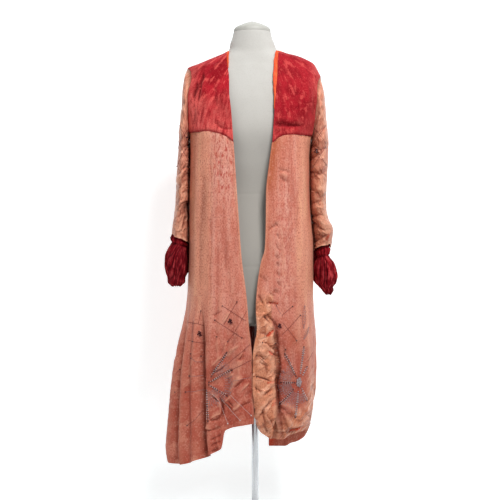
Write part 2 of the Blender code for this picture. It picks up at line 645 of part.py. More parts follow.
def side_flare(name, side):
    """The pleated piece let into a side, with columns on its ridges, its valleys and half way between."""
    rows = range(FLARE_FIRST_ROW, BODY_ROWS)
    field = "right" if side < 0 else "left"
    foot = FLARE_SEAMS[0]
    limits = sorted((getattr(foot, field + "_front"), getattr(foot, field + "_back")))
    folds = [fold for fold in FOLDS
             if fold.side == side and limits[0] < fold.foot_angle < limits[1] and fold.top <= FLARE_TOP]
    folds.sort(key=lambda fold: fold.foot_angle)
    cells = 2 * (len(folds) + 1)
    picks = [2 * (index + 1) for index in range(len(folds))]
    angles, heights = [], []
    for row in rows:
        ends = sorted((flare_seam(row, side, behind=False), flare_seam(row, side, behind=True)))
        level = float(row_height(row, np.array(sum(ends) / 2), side))
        line = snapped(ends[0], ends[1], [fold_centre(fold, level) for fold in folds], cells, picks)
        heights_here = row_height(row, line, side) - (SEAM_GAP if row == FLARE_FIRST_ROW else 0.0)
        line[0] += half_gap(line[0], heights_here[0], side)
        line[-1] -= half_gap(line[-1], heights_here[-1], side)
        angles.append(line)
        heights.append(heights_here)
    panel_wall(name, np.array(angles), np.array(heights), side, SILK_WALL, SALMON_SILK)


def shoulder_levels(side):
    top = ARMHOLES[side].top
    return [top + (NECK_HEIGHT - top) * share for share in SHOULDER_SHARES]


def yoke_front(name, side):
    angles, heights = [], []
    lower = front_columns(0, side)[:-1]
    columns = len(lower)
    angles.append(lower)
    heights.append(yoke_edge(lower))
    for step in range(ARMHOLE_STEPS - 2, -1, -1):
        level = armhole_level(side, step)
        line = np.linspace(float(front_edge(side, level)), armhole_angle(side, step, behind=False), columns)
        angles.append(line)
        heights.append(np.full_like(line, level))
    for level in shoulder_levels(side):
        line = np.linspace(float(front_edge(side, level)), side * math.pi / 2, columns)
        angles.append(line)
        heights.append(np.full_like(line, level))
    for line, level in zip(angles[ARMHOLE_STEPS - 1:], heights[ARMHOLE_STEPS - 1:]):
        line[-1] -= side * half_gap(line[-1], level[-1], side)
    panel_wall(name, np.array(angles), np.array(heights), side, VELVET_WALL, CRIMSON_VELVET)


def yoke_back():
    lower = back_columns(0)[1:-1]
    columns = len(lower)
    blend = np.linspace(0.0, 1.0, columns)
    angles, heights = [lower], [yoke_edge(lower)]
    for step in range(ARMHOLE_STEPS - 2, -1, -1):
        angles.append(np.linspace(armhole_angle(LEFT, step, behind=True),
                                  armhole_angle(RIGHT, step, behind=True) % (2 * math.pi), columns))
        heights.append(armhole_level(LEFT, step) * (1 - blend) + armhole_level(RIGHT, step) * blend)
    last = len(SHOULDER_SHARES) - 1
    for index, (left, right) in enumerate(zip(shoulder_levels(LEFT), shoulder_levels(RIGHT))):
        rise = BACK_NECK_RISE * np.sin(math.pi * blend) if index == last else 0.0
        angles.append(np.linspace(math.pi / 2, 1.5 * math.pi, columns))
        heights.append(left * (1 - blend) + right * blend + rise)
    for line, level in zip(angles[ARMHOLE_STEPS - 1:], heights[ARMHOLE_STEPS - 1:]):
        line[0] += half_gap(line[0], level[0], LEFT)
        line[-1] -= half_gap(line[-1], level[-1], RIGHT)
    sides = np.where(np.array(angles) <= math.pi, LEFT, RIGHT)
    panel_wall("yoke_back", np.array(angles), np.array(heights), sides, VELVET_WALL, CRIMSON_VELVET)


def binding_levels(table):
    low, high = table[0].height, table[-1].height
    levels = np.linspace(low, high, 1 + round((high - low) / BINDING_STEP))
    return levels, along(table, "width", levels)


def neck_binding():
    """A strip along the yoke's neck edge: up the right front, round the back and down the left front."""
    right_levels, right_widths = binding_levels(RIGHT_BINDING)
    left_levels, left_widths = (values[::-1] for values in binding_levels(LEFT_BINDING))
    round_back = np.linspace(float(front_edge(RIGHT, NECK_HEIGHT)) + 2 * math.pi,
                             float(front_edge(LEFT, NECK_HEIGHT)), BACK_NECK_STEPS + 1)
    rise = BACK_NECK_RISE * np.sin(np.clip(round_back - math.pi / 2, 0.0, math.pi))
    angles = np.concatenate([front_edge(RIGHT, right_levels), round_back, front_edge(LEFT, left_levels)])
    heights = np.concatenate([right_levels, NECK_HEIGHT + rise, left_levels])
    widths = np.concatenate([right_widths, np.full_like(round_back, BACK_BINDING_WIDTH), left_widths])
    sides = np.where((angles < 0) | (angles > math.pi), RIGHT, LEFT)
    edge = coat_point(angles, heights, sides)
    normal = coat_normal(angles, heights, sides)
    tangent = np.gradient(edge, axis=0)
    inward = np.cross(tangent, normal)
    inward /= np.linalg.norm(inward, axis=-1, keepdims=True)
    near = edge + BINDING_GAP * inward
    far = edge + (BINDING_GAP + widths[:, None]) * inward
    outer = np.stack([near, far], axis=1)
    inner = outer - BINDING_WALL * normal[:, None, :]
    wall("neck_binding", outer, inner, ORANGE_SATIN)


def hem_band():
    """A strip of the hem's turning, just inside the left front's rolled hem and hanging below it."""
    angles = np.radians(np.linspace(HEM_BAND[0].angle, HEM_BAND[-1].angle, BAND_CELLS + 1))
    foot = by_angle(HEM_BAND, "foot", angles)
    radius = by_angle(HEM_BAND, "radius", angles)
    hem = hem_height(angles, LEFT)
    levels = (foot, (foot + hem) / 2, hem, hem + BAND_TURNING)
    outer = np.array([around(radius, angles, level) for level in levels])
    inner = np.array([around(radius - SILK_WALL, angles, level) for level in levels])
    wall("hem_band_left", outer, inner, SALMON_SILK)


def armhole_ring(side):
    """The armhole as a ring of points on the coat's side, set in from the yoke's edge."""
    hole = ARMHOLES[side]
    middle = (hole.top + hole.foot) / 2
    shrink = 1 - ARMHOLE_GAP / ((hole.top - hole.foot) / 2)
    ring = []
    for step in range(SLEEVE_RING):
        behind = step > ARMHOLE_STEPS
        level = step if not behind else SLEEVE_RING - step
        depth = armhole_depth(side, level, ARMHOLE_GAP) * (1 if behind else -1)
        height = middle + (armhole_level(side, level) - middle) * shrink
        ring.append((FORM_OFFSET_X + side_x(side, depth, height), depth, height))
    return ring


def sleeve_ring(side, section):
    middle = np.array([(section.outer + section.inner) / 2, (section.outer_height + section.inner_height) / 2])
    reach = np.array([section.outer, section.outer_height]) - middle
    ring = []
    for step in range(SLEEVE_RING):
        turn = 2 * math.pi * step / SLEEVE_RING
        across, height = middle + reach * math.cos(turn)
        depth = section.middle - section.half_depth * math.sin(turn)
        ring.append((FORM_OFFSET_X + side * across, depth, height))
    return ring


def tube_normals(rings):
    """Outward directions at the points of a tube of closed rings."""
    across = np.roll(rings, -1, axis=1) - np.roll(rings, 1, axis=1)
    normals = np.cross(across, np.gradient(rings, axis=0))
    normals /= np.linalg.norm(normals, axis=-1, keepdims=True)
    outward = rings - rings.mean(axis=1, keepdims=True)
    return normals * np.sign(np.sum(normals * outward))


def sleeve(name, side):
    rings = np.array([armhole_ring(side)] + [sleeve_ring(side, section) for section in SLEEVES[side]])
    wall(name, rings, rings - SLEEVE_WALL * tube_normals(rings), SALMON_SILK, closed_ring=True)


def cuff_ring(side, section, inset):
    ring = []
    for step in range(CUFF_RING):
        turn = 2 * math.pi * step / CUFF_RING
        wave = section.wave * math.cos(CUFF_GATHERS * turn) - inset
        across = (section.half_width + wave) * math.cos(turn)
        depth = (section.half_depth + wave) * math.sin(turn)
        ring.append((FORM_OFFSET_X + side * (section.middle + across), CUFF_MIDDLE_Y + depth, section.height))
    return ring


def cuff(name, side):
    walls = [np.array([cuff_ring(side, section, inset) for section in CUFFS[side]]) for inset in (0.0, CUFF_WALL)]
    wall(name, walls[0], walls[1], DARK_VELVET, closed_ring=True)


def form_ring(section, square):
    ring = []
    for step in range(FORM_RING):
        turn = 2 * math.pi * step / FORM_RING
        depth = section.front if math.cos(turn) > 0 else section.back
        radius = (abs(math.sin(turn) / section.half_width) ** square
                  + abs(math.cos(turn) / depth) ** square) ** (-1 / square)
        ring.append((FORM_OFFSET_X + radius * math.sin(turn), -radius * math.cos(turn), section.height))
    return ring


def form_shoulders():
    """Sections of the form's shoulders, just below the yoke that rests on them."""
    sections = []
    for level in SHOULDER_LEVELS:
        above = level + SHOULDER_SEAT
        right, left, front, back = (float(along(BODY_SECTIONS, field, above))
                                    for field in ("right", "left", "front", "back"))
        sections.append(FormSection(level, min(right, left) - SHOULDER_SEAT, front - SHOULDER_SEAT,
                                    back - SHOULDER_SEAT))
    return sections


def dress_form():
    rings = [form_ring(section, FORM_SQUARE) for section in FORM_TRUNK]
    rings += [form_ring(section, NECK_SQUARE) for section in form_shoulders()]
    rings += [form_ring(section, NECK_SQUARE) for section in FORM_NECK]
    stack("form_torso", np.array(rings), GREY_JERSEY)


def neck_cap():
    top = FORM_NECK[-1]
    foot = top.height + SEAM_GAP
    rings = []
    for step in range(CAP_STEPS + 1):
        turn = math.pi / 2 * step / (CAP_STEPS + 1)
        size = math.cos(turn)
        section = FormSection(foot + CAP_HEIGHT * math.sin(turn), (top.half_width + CAP_RIM) * size,
                              (top.front + CAP_RIM) * size, (top.back + CAP_RIM) * size)
        rings.append(form_ring(section, NECK_SQUARE))
    stack("form_neck_cap", np.array(rings), PALE_CAP)


def round_ring(radius, height, count):
    turns = [2 * math.pi * step / count for step in range(count)]
    return [(radius * math.cos(turn), radius * math.sin(turn), height) for turn in turns]


def stand():
    base_rings = [round_ring(radius, height, BASE_RING) for radius, height in BASE_PROFILE[1:-1]]
    stack("stand_base", np.array(base_rings), PAINTED_STEEL)
    foot = BASE_PROFILE[-1][1] + SEAM_GAP
    top = FORM_TRUNK[0].height - SEAM_GAP
    stack("stand_pole", np.array([round_ring(POLE_RADIUS, height, POLE_RING) for height in (foot, top)]), CHROME)


def build():
    clear_scene()
    dress_form()
    neck_cap()
    stand()
    coat_front("coat_front_right", RIGHT)
    coat_front("coat_front_left", LEFT)
    coat_back()
    side_flare("side_flare_right", RIGHT)
    side_flare("side_flare_left", LEFT)
    yoke_front("yoke_front_right", RIGHT)
    yoke_front("yoke_front_left", LEFT)
    yoke_back()
    neck_binding()
    hem_band()
    sleeve("sleeve_right", RIGHT)
    sleeve("sleeve_left", LEFT)
    cuff("cuff_right", RIGHT)
    cuff("cuff_left", LEFT)


build()
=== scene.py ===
"""The looks of an opera coat, worn open, on a limbless dress form with its pole and base.

Metres, +Z up, in the model's own frame: the front faces -Y and the wearer's left is +X. The cloth follows the
tables that shape the model's solids, and adds creases, puckers, wear, painted shade and highlights, and
beadwork from tables of its own.
"""

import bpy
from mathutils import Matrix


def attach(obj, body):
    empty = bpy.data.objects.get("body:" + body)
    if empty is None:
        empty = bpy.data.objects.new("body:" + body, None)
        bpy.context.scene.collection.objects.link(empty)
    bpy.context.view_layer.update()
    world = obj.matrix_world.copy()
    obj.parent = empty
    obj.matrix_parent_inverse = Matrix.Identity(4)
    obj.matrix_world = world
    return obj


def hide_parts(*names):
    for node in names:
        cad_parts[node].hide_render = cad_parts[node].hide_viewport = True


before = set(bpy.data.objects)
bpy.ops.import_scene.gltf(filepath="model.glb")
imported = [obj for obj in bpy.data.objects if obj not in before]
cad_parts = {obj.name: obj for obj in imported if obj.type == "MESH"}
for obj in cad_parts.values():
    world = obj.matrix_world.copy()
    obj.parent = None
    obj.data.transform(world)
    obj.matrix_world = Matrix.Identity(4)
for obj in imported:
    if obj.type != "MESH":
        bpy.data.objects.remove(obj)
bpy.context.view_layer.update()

import math
from collections import namedtuple

import bpy
import numpy as np
from mathutils import Vector


def table(kind, *rows):
    """Rows with named columns, from rows of plain values."""
    return tuple(kind(*row) for row in rows)


def paired(values):
    """Places from a run of values across and up."""
    return tuple(zip(values[::2], values[1::2]))


def drawn(*rows):
    """Creases, from rows of a half width, a depth and the places that each runs through."""
    return tuple(Crease(width, depth, paired(places)) for width, depth, *places in rows)


def couched(*rows):
    """Couched lines, from rows of a thread, the ends with a bead and the places that each runs through."""
    return tuple(Couching(thread, beads, paired(places)) for thread, beads, *places in rows)


RIGHT = -1
LEFT = 1
BODY = "root"
MM = 0.001

# Cloth thicknesses and clearances
SILK_WALL = 0.0016
VELVET_WALL = 0.0018
SLEEVE_WALL = 0.0014
CUFF_WALL = 0.0012
BINDING_WALL = 0.0014
SEAM_GAP = 0.0003
ARMHOLE_GAP = 0.0005
HUG_GAP = 0.002
BINDING_GAP = 0.0006

# The form hangs a little to the wearer's right of its pole
FORM_OFFSET_X = -0.005

# Sections of the coat's body: half widths to each side, depths to front and back, squareness of the ring
BodySection = namedtuple("BodySection", "height right left front back square")
BODY_SECTIONS = table(
    BodySection,
    (0.17, 0.26, 0.16, 0.145, 0.152, 2.5), (0.3, 0.247, 0.179, 0.143, 0.146, 2.5),
    (0.43, 0.233, 0.182, 0.14, 0.137, 2.5), (0.55, 0.216, 0.184, 0.138, 0.128, 2.5),
    (0.69, 0.197, 0.178, 0.135, 0.12, 2.6), (0.82, 0.192, 0.178, 0.134, 0.116, 2.7),
    (0.966, 0.191, 0.168, 0.133, 0.112, 2.7), (1.08, 0.189, 0.167, 0.131, 0.112, 2.7),
    (1.155, 0.19, 0.173, 0.128, 0.113, 2.7), (1.18, 0.196, 0.182, 0.125, 0.113, 2.7),
    (1.22, 0.205, 0.194, 0.118, 0.112, 2.6), (1.28, 0.2145, 0.2055, 0.101, 0.108, 2.5),
    (1.33, 0.208, 0.2025, 0.083, 0.098, 2.2), (1.345, 0.2035, 0.1965, 0.077, 0.093, 2.1),
    (1.36, 0.1975, 0.189, 0.07, 0.087, 2), (1.372, 0.168, 0.182, 0.064, 0.081, 2),
    (1.385, 0.137, 0.161, 0.06, 0.075, 2), (1.395, 0.1125, 0.137, 0.057, 0.07, 2),
    (1.405, 0.0885, 0.097, 0.0545, 0.066, 2), (1.418, 0.07, 0.068, 0.052, 0.061, 2),
)

# Front edges of the two fronts, measured across from the coat's middle
FrontEdge = namedtuple("FrontEdge", "height right left")
FRONT_EDGES = table(
    FrontEdge,
    (0.2, 0.0005, 0.003), (0.348, 0.0005, 0.003), (0.42, -0.0016, -0.0024), (0.506, -0.0046, -0.0024),
    (0.55, -0.0082, 0.003), (0.597, -0.0136, 0.0088), (0.649, -0.0174, 0.0059), (0.699, -0.0222, 0.0088),
    (0.778, -0.0328, 0.0203), (0.819, -0.0366, 0.0318), (0.877, -0.0408, 0.0344), (0.98, -0.048, 0.0356),
    (1.066, -0.054, 0.0451), (1.127, -0.0583, 0.0535), (1.215, -0.066, 0.0604), (1.262, -0.0725, 0.0649),
    (1.325, -0.0738, 0.0699), (1.38, -0.0795, 0.0722), (1.405, -0.0805, 0.0745),
)

# Lower edge of the yoke, and the hem, by angle from the front in degrees
Level = namedtuple("Level", "angle height")
YOKE_EDGES = table(
    Level,
    (-180, 1.138), (-160, 1.148), (-140, 1.16), (-120, 1.163), (-95, 1.1625), (-90, 1.1545), (-85, 1.1625),
    (-62, 1.1605), (-53, 1.161), (-43, 1.155), (-33, 1.144), (-23, 1.126), (0, 1.12), (23, 1.126),
    (31, 1.1414), (37, 1.148), (48, 1.1505), (62, 1.15), (85, 1.153), (90, 1.1455), (95, 1.1522),
    (100, 1.1526), (120, 1.158), (140, 1.158), (160, 1.148), (180, 1.138),
)
RIGHT_HEM = table(
    Level,
    (-180, 0.278), (-150, 0.27), (-130, 0.24), (-115, 0.22), (-100, 0.212), (-90, 0.208), (-82, 0.195),
    (-75, 0.19), (-65, 0.192), (-58, 0.201), (-52, 0.212), (-47, 0.222), (-42, 0.23), (-37, 0.239),
    (-35, 0.245), (-33.6, 0.266), (-32.4, 0.291), (-31, 0.298), (-19, 0.309), (5, 0.318),
)
LEFT_HEM = table(
    Level,
    (-2, 0.352), (1.5, 0.345), (4.5, 0.307), (8.5, 0.292), (13, 0.284), (18, 0.2765), (22, 0.2705),
    (30, 0.269), (38, 0.268), (43, 0.275), (53, 0.28), (60, 0.283), (67, 0.285), (72, 0.29), (76, 0.304),
    (80, 0.322), (85, 0.338), (92, 0.347), (105, 0.335), (130, 0.3), (150, 0.282), (180, 0.278),
)

# How far the hem rolls in, by angle from the front in degrees, and how high above it the roll starts
HemRoll = namedtuple("HemRoll", "angle depth")
RIGHT_ROLL = table(
    HemRoll,
    (-130, 0), (-105, 0.008), (-90, 0.012), (-72, 0.008), (-55, 0.001), (-45, 0.004), (5, 0.006),
)
LEFT_ROLL = table(
    HemRoll,
    (-5, 0.024), (58, 0.028), (66, 0.02), (74, 0.01), (84, 0.008), (98, 0.012), (118, 0.006), (140, 0),
)
ROLL_REACH = 0.06

# Seams of the side flares: angle in degrees of the front and back seam on each side, below the flare's top
FlareSeam = namedtuple("FlareSeam", "height right_front right_back left_front left_back")
FLARE_SEAMS = table(
    FlareSeam,
    (0.15, -46.5, -122, 79, 117), (0.4, -48, -118, 80, 115), (0.56, -50, -115, 81, 113),
    (0.64, -52.5, -113, 81.5, 112), (0.682, -55, -112, 82, 111),
)
FLARE_TOP = 0.682

# Folds: centre angle in degrees at the top and at the hem, height where each starts and is full,
# spread in degrees, and depth, which is positive for a ridge
Fold = namedtuple("Fold", "side top_angle foot_angle top full spread depth")
FOLDS = table(
    Fold,
    (RIGHT, 0, 0, 0.64, 0.54, 6, -0.004), (RIGHT, -18, -16, 0.95, 0.5, 5, 0.004),
    (RIGHT, -29, -30, 0.9, 0.45, 4.5, -0.005), (RIGHT, -48, -44, 1.05, 0.55, 4.5, 0.006),
    (RIGHT, -56.5, -48, FLARE_TOP, 0.52, 2.8, -0.024), (RIGHT, -61.5, -54.5, FLARE_TOP, 0.5, 2.6, 0.008),
    (RIGHT, -65.5, -59, FLARE_TOP, 0.4, 2.6, -0.002), (RIGHT, -69, -63.7, FLARE_TOP, 0.44, 2.8, 0.013),
    (RIGHT, -74.5, -68.3, FLARE_TOP, 0.44, 2.5, -0.014), (RIGHT, -82, -77.5, FLARE_TOP, 0.44, 5, 0.014),
    (RIGHT, -90, -90, FLARE_TOP, 0.36, 3.5, -0.014), (RIGHT, -97, -99, FLARE_TOP, 0.36, 4, 0.012),
    (RIGHT, -103, -108, FLARE_TOP, 0.36, 3.5, -0.013), (RIGHT, -108, -115.5, FLARE_TOP, 0.36, 3.5, 0.009),
    (RIGHT, -133, -136, 0.95, 0.4, 7, -0.01), (RIGHT, -150, -151, 0.98, 0.4, 8, 0.011),
    (RIGHT, -167, -168, 0.93, 0.4, 6, -0.009), (LEFT, 8, 9, 0.74, 0.5, 9.5, 0.014),
    (LEFT, 25, 29.5, 0.64, 0.5, 3.8, -0.019), (LEFT, 34, 37, 0.64, 0.45, 5, 0.006),
    (LEFT, 58, 56, 0.8, 0.5, 6, 0.003), (LEFT, 86.5, 84, FLARE_TOP, 0.45, 3, -0.008),
    (LEFT, 92.5, 93, FLARE_TOP, 0.45, 3.5, 0.006), (LEFT, 98.5, 102, FLARE_TOP, 0.45, 3, -0.008),
    (LEFT, 104, 110, FLARE_TOP, 0.45, 3.5, 0.005), (LEFT, 130, 132, 0.95, 0.4, 7, -0.009),
    (LEFT, 147, 148, 0.99, 0.4, 8, 0.01), (LEFT, 165, 166, 0.94, 0.4, 6, -0.008),
)
FOLD_FOOT = 0.200
FRONT_CORNER = 0.02

# Armholes: an oval in side view
Armhole = namedtuple("Armhole", "top foot half_depth")
ARMHOLES = {RIGHT: Armhole(1.360, 1.155, 0.058), LEFT: Armhole(1.335, 1.146, 0.057)}
ARMHOLE_POWER = 2.2
ARMHOLE_CORNER = 7 / 8
NECK_HEIGHT = 1.405
BACK_NECK_RISE = 0.007

# Orange binding: width along the right front, round the back neck and down the left front
Binding = namedtuple("Binding", "height width")
RIGHT_BINDING = table(
    Binding,
    (1.35, 0.002), (1.372, 0.005), (1.397, 0.007),
)
BACK_BINDING_WIDTH = 0.008
LEFT_BINDING = table(
    Binding,
    (1.225, 0.002), (1.262, 0.005), (1.29, 0.0085), (1.325, 0.012), (1.365, 0.012), (1.397, 0.009),
)

# Hem band below the left front: angle in degrees, radius and height of its lower edge
BandSection = namedtuple("BandSection", "angle radius foot")
HEM_BAND = table(
    BandSection,
    (30, 0.0905, 0.243), (40, 0.1, 0.2425), (50, 0.12, 0.2425), (57, 0.132, 0.2505), (64, 0.145, 0.2545),
    (70, 0.157, 0.264), (74, 0.1655, 0.279), (78, 0.1729, 0.301),
)
BAND_TURNING = 0.012

# Sleeves: outer and inner edge in front view, half depth and middle in side view, from the armhole down
SleeveSection = namedtuple("SleeveSection", "outer outer_height inner inner_height half_depth middle")
SLEEVES = {
    RIGHT: table(
        SleeveSection,
        (0.2045, 1.342, 0.193, 1.152, 0.06, 0), (0.2115, 1.3, 0.1945, 1.147, 0.063, 0),
        (0.2165, 1.24, 0.195, 1.138, 0.066, 0), (0.2205, 1.185, 0.1955, 1.122, 0.067, -0.001),
        (0.2245, 1.12, 0.196, 1.09, 0.067, -0.002), (0.2285, 1.05, 0.1965, 1.04, 0.065, -0.004),
        (0.232, 0.985, 0.1965, 0.985, 0.063, -0.006), (0.237, 0.92, 0.197, 0.92, 0.06, -0.006),
        (0.243, 0.882, 0.1975, 0.882, 0.056, -0.006), (0.244, 0.8605, 0.1985, 0.8605, 0.05, -0.006),
    ),
    LEFT: table(
        SleeveSection,
        (0.203, 1.322, 0.179, 1.148, 0.059, 0), (0.2125, 1.28, 0.1785, 1.142, 0.063, 0),
        (0.2185, 1.205, 0.1775, 1.132, 0.067, 0), (0.2245, 1.14, 0.1765, 1.112, 0.068, -0.001),
        (0.223, 1.08, 0.175, 1.07, 0.068, -0.002), (0.2195, 1.02, 0.1745, 1.02, 0.066, -0.003),
        (0.2172, 0.95, 0.177, 0.95, 0.064, -0.004), (0.223, 0.91, 0.181, 0.91, 0.062, -0.004),
        (0.2385, 0.872, 0.185, 0.872, 0.06, -0.004), (0.235, 0.845, 0.187, 0.845, 0.053, -0.004),
        (0.23, 0.8265, 0.188, 0.8265, 0.046, -0.004),
    ),
}

# Cuffs: middle and half sizes of each section, and the height of the gathers there
CuffSection = namedtuple("CuffSection", "height middle half_width half_depth wave")
CUFFS = {
    RIGHT: table(
        CuffSection,
        (0.708, 0.231, 0.019, 0.03, 0.0018), (0.72, 0.231, 0.025, 0.04, 0.0018),
        (0.734, 0.231, 0.0262, 0.042, 0.0012), (0.75, 0.231, 0.031, 0.05, 0.0018),
        (0.77, 0.232, 0.033, 0.055, 0.0022), (0.796, 0.232, 0.032, 0.054, 0.0022),
        (0.82, 0.228, 0.0275, 0.047, 0.0018), (0.838, 0.224, 0.0222, 0.039, 0.0012),
        (0.86, 0.223, 0.0245, 0.046, 0.0018),
    ),
    LEFT: table(
        CuffSection,
        (0.683, 0.2235, 0.011, 0.02, 0.0014), (0.697, 0.2215, 0.016, 0.027, 0.0014),
        (0.706, 0.2165, 0.02, 0.036, 0.0012), (0.718, 0.216, 0.029, 0.048, 0.002),
        (0.739, 0.217, 0.032, 0.054, 0.0022), (0.758, 0.215, 0.0305, 0.053, 0.0022),
        (0.778, 0.213, 0.026, 0.046, 0.0018), (0.798, 0.209, 0.0172, 0.034, 0.0012),
        (0.826, 0.209, 0.0195, 0.041, 0.0018),
    ),
}
CUFF_MIDDLE_Y = -0.005

# How far a sleeve bellies in towards the coat, and how far its end and the cuff's heading hang lower there
SLEEVE_FULLNESS = {RIGHT: 0.0022, LEFT: 0.0040}
END_SLANT = {RIGHT: 0.022, LEFT: 0.010}
END_LIFT = {RIGHT: 0.004, LEFT: 0.010}

# Gathers of a cuff: how many there are, how far they slant round it, their height, the frill at its top and
# its puffs; and how strong the painted highlight on their ridges is
Gathering = namedtuple("Gathering", "count slant height frill puffs")
GATHERING = {RIGHT: Gathering(20, 9.0, 1.2, 0.020, 14), LEFT: Gathering(16, -2.5, 2.4, 0.026, 12)}
CUFF_RIDGE_HIGHLIGHT = {RIGHT: 0.80, LEFT: 1.0}

# Dress form, neck cap, pole and base
FormSection = namedtuple("FormSection", "height half_width front back square")
FORM_SECTIONS = table(
    FormSection,
    (0.594, 0.146, 0.095, 0.1, 2.2), (0.6, 0.152, 0.1, 0.105, 2.2), (0.62, 0.157, 0.103, 0.109, 2.2),
    (0.7, 0.163, 0.106, 0.111, 2.2), (0.78, 0.163, 0.105, 0.108, 2.2), (0.88, 0.147, 0.096, 0.096, 2.2),
    (0.985, 0.124, 0.087, 0.084, 2.2), (1.08, 0.135, 0.099, 0.088, 2.2), (1.17, 0.15, 0.115, 0.094, 2.2),
    (1.25, 0.162, 0.103, 0.097, 2.2), (1.305, 0.176, 0.085, 0.092, 2.2), (1.34, 0.184, 0.073, 0.086, 2.2),
    (1.357, 0.1798, 0.067, 0.084, 2), (1.369, 0.16, 0.0615, 0.0787, 2), (1.382, 0.1343, 0.0579, 0.0733, 2),
    (1.392, 0.1108, 0.0552, 0.0685, 2), (1.402, 0.0861, 0.0523, 0.0642, 2),
    (1.412, 0.0725, 0.0495, 0.057, 2), (1.42, 0.0665, 0.049, 0.056, 2), (1.432, 0.0625, 0.048, 0.0545, 2),
    (1.455, 0.0575, 0.047, 0.053, 2), (1.464, 0.0563, 0.0466, 0.0526, 2),
    (1.4685, 0.0553, 0.046, 0.0519, 2),
)
FORM_UNDER_COAT = 0.0010
NECK_LEAN = -0.004
NECK_FULLNESS = 0.0042
FORM_STEP = 0.004
FORM_RING = 96
CAP_RIM = 0.0001

# Profiles: the cap as shares of the neck's section against height, pole and base as radius against height
ProfileRow = namedtuple("ProfileRow", "size height")
CAP_PROFILE = table(
    ProfileRow,
    (1, 0), (1.002, 0.0015), (0.995, 0.006), (0.975, 0.0095), (0.94, 0.0122), (0.9, 0.014), (0.86, 0.0155),
    (0.74, 0.019), (0.61, 0.0223), (0.47, 0.0255), (0.33, 0.0283), (0.2, 0.0308), (0.1, 0.0324),
    (0.02, 0.0332),
)
POLE_PROFILE = table(
    ProfileRow,
    (0.0155, 0.0453), (0.0158, 0.046), (0.0158, 0.0585), (0.015, 0.0595), (0.0108, 0.06), (0.0105, 0.0608),
    (0.0105, 0.062), (0.0105, 0.5915), (0.0105, 0.5928), (0.0098, 0.5937),
)
BASE_PROFILE = table(
    ProfileRow,
    (0.188, 0), (0.1896, 0.0008), (0.19, 0.0024), (0.1897, 0.0052), (0.188, 0.0082), (0.184, 0.0108),
    (0.072, 0.016), (0.042, 0.018), (0.031, 0.0205), (0.0255, 0.0262), (0.0238, 0.033), (0.0226, 0.043),
    (0.0215, 0.0448), (0.02, 0.045),
)
TURNED_RING = 72

# Cells of the fine shells: across, and down above and below the flare's top
FRONT_ACROSS = {RIGHT: 110, LEFT: 104}
SIDE_ACROSS = {RIGHT: 30, LEFT: 8}
FRONT_DOWN = (106, 196)
EDGE_DENSITY = {RIGHT: 1.0, LEFT: 1.35}
BACK_ACROSS = 84
BACK_SIDE_ACROSS = 10
BACK_DOWN = (96, 100)
FLARE_ACROSS = {RIGHT: 120, LEFT: 52}
FLARE_DOWN = 140
YOKE_ACROSS = 56
YOKE_DOWN = (64, 24)
YOKE_BACK_ACROSS = 96
SLEEVE_RING = 96
SLEEVE_DOWN = 170
CUFF_RING = 288
CUFF_DOWN = 72
NOISE_GRID = 64

# How deep the drawn creases are made, and how wide their steep and gentle sides, as shares of the tables'
# values
CREASE_DEPTH = {"front": 1.6, "yoke": 1.9, "sleeve": 1.55}
CREASE_STEEP = 0.60
CREASE_GENTLE = 1.35
CREASE_SHARPNESS = 1.15

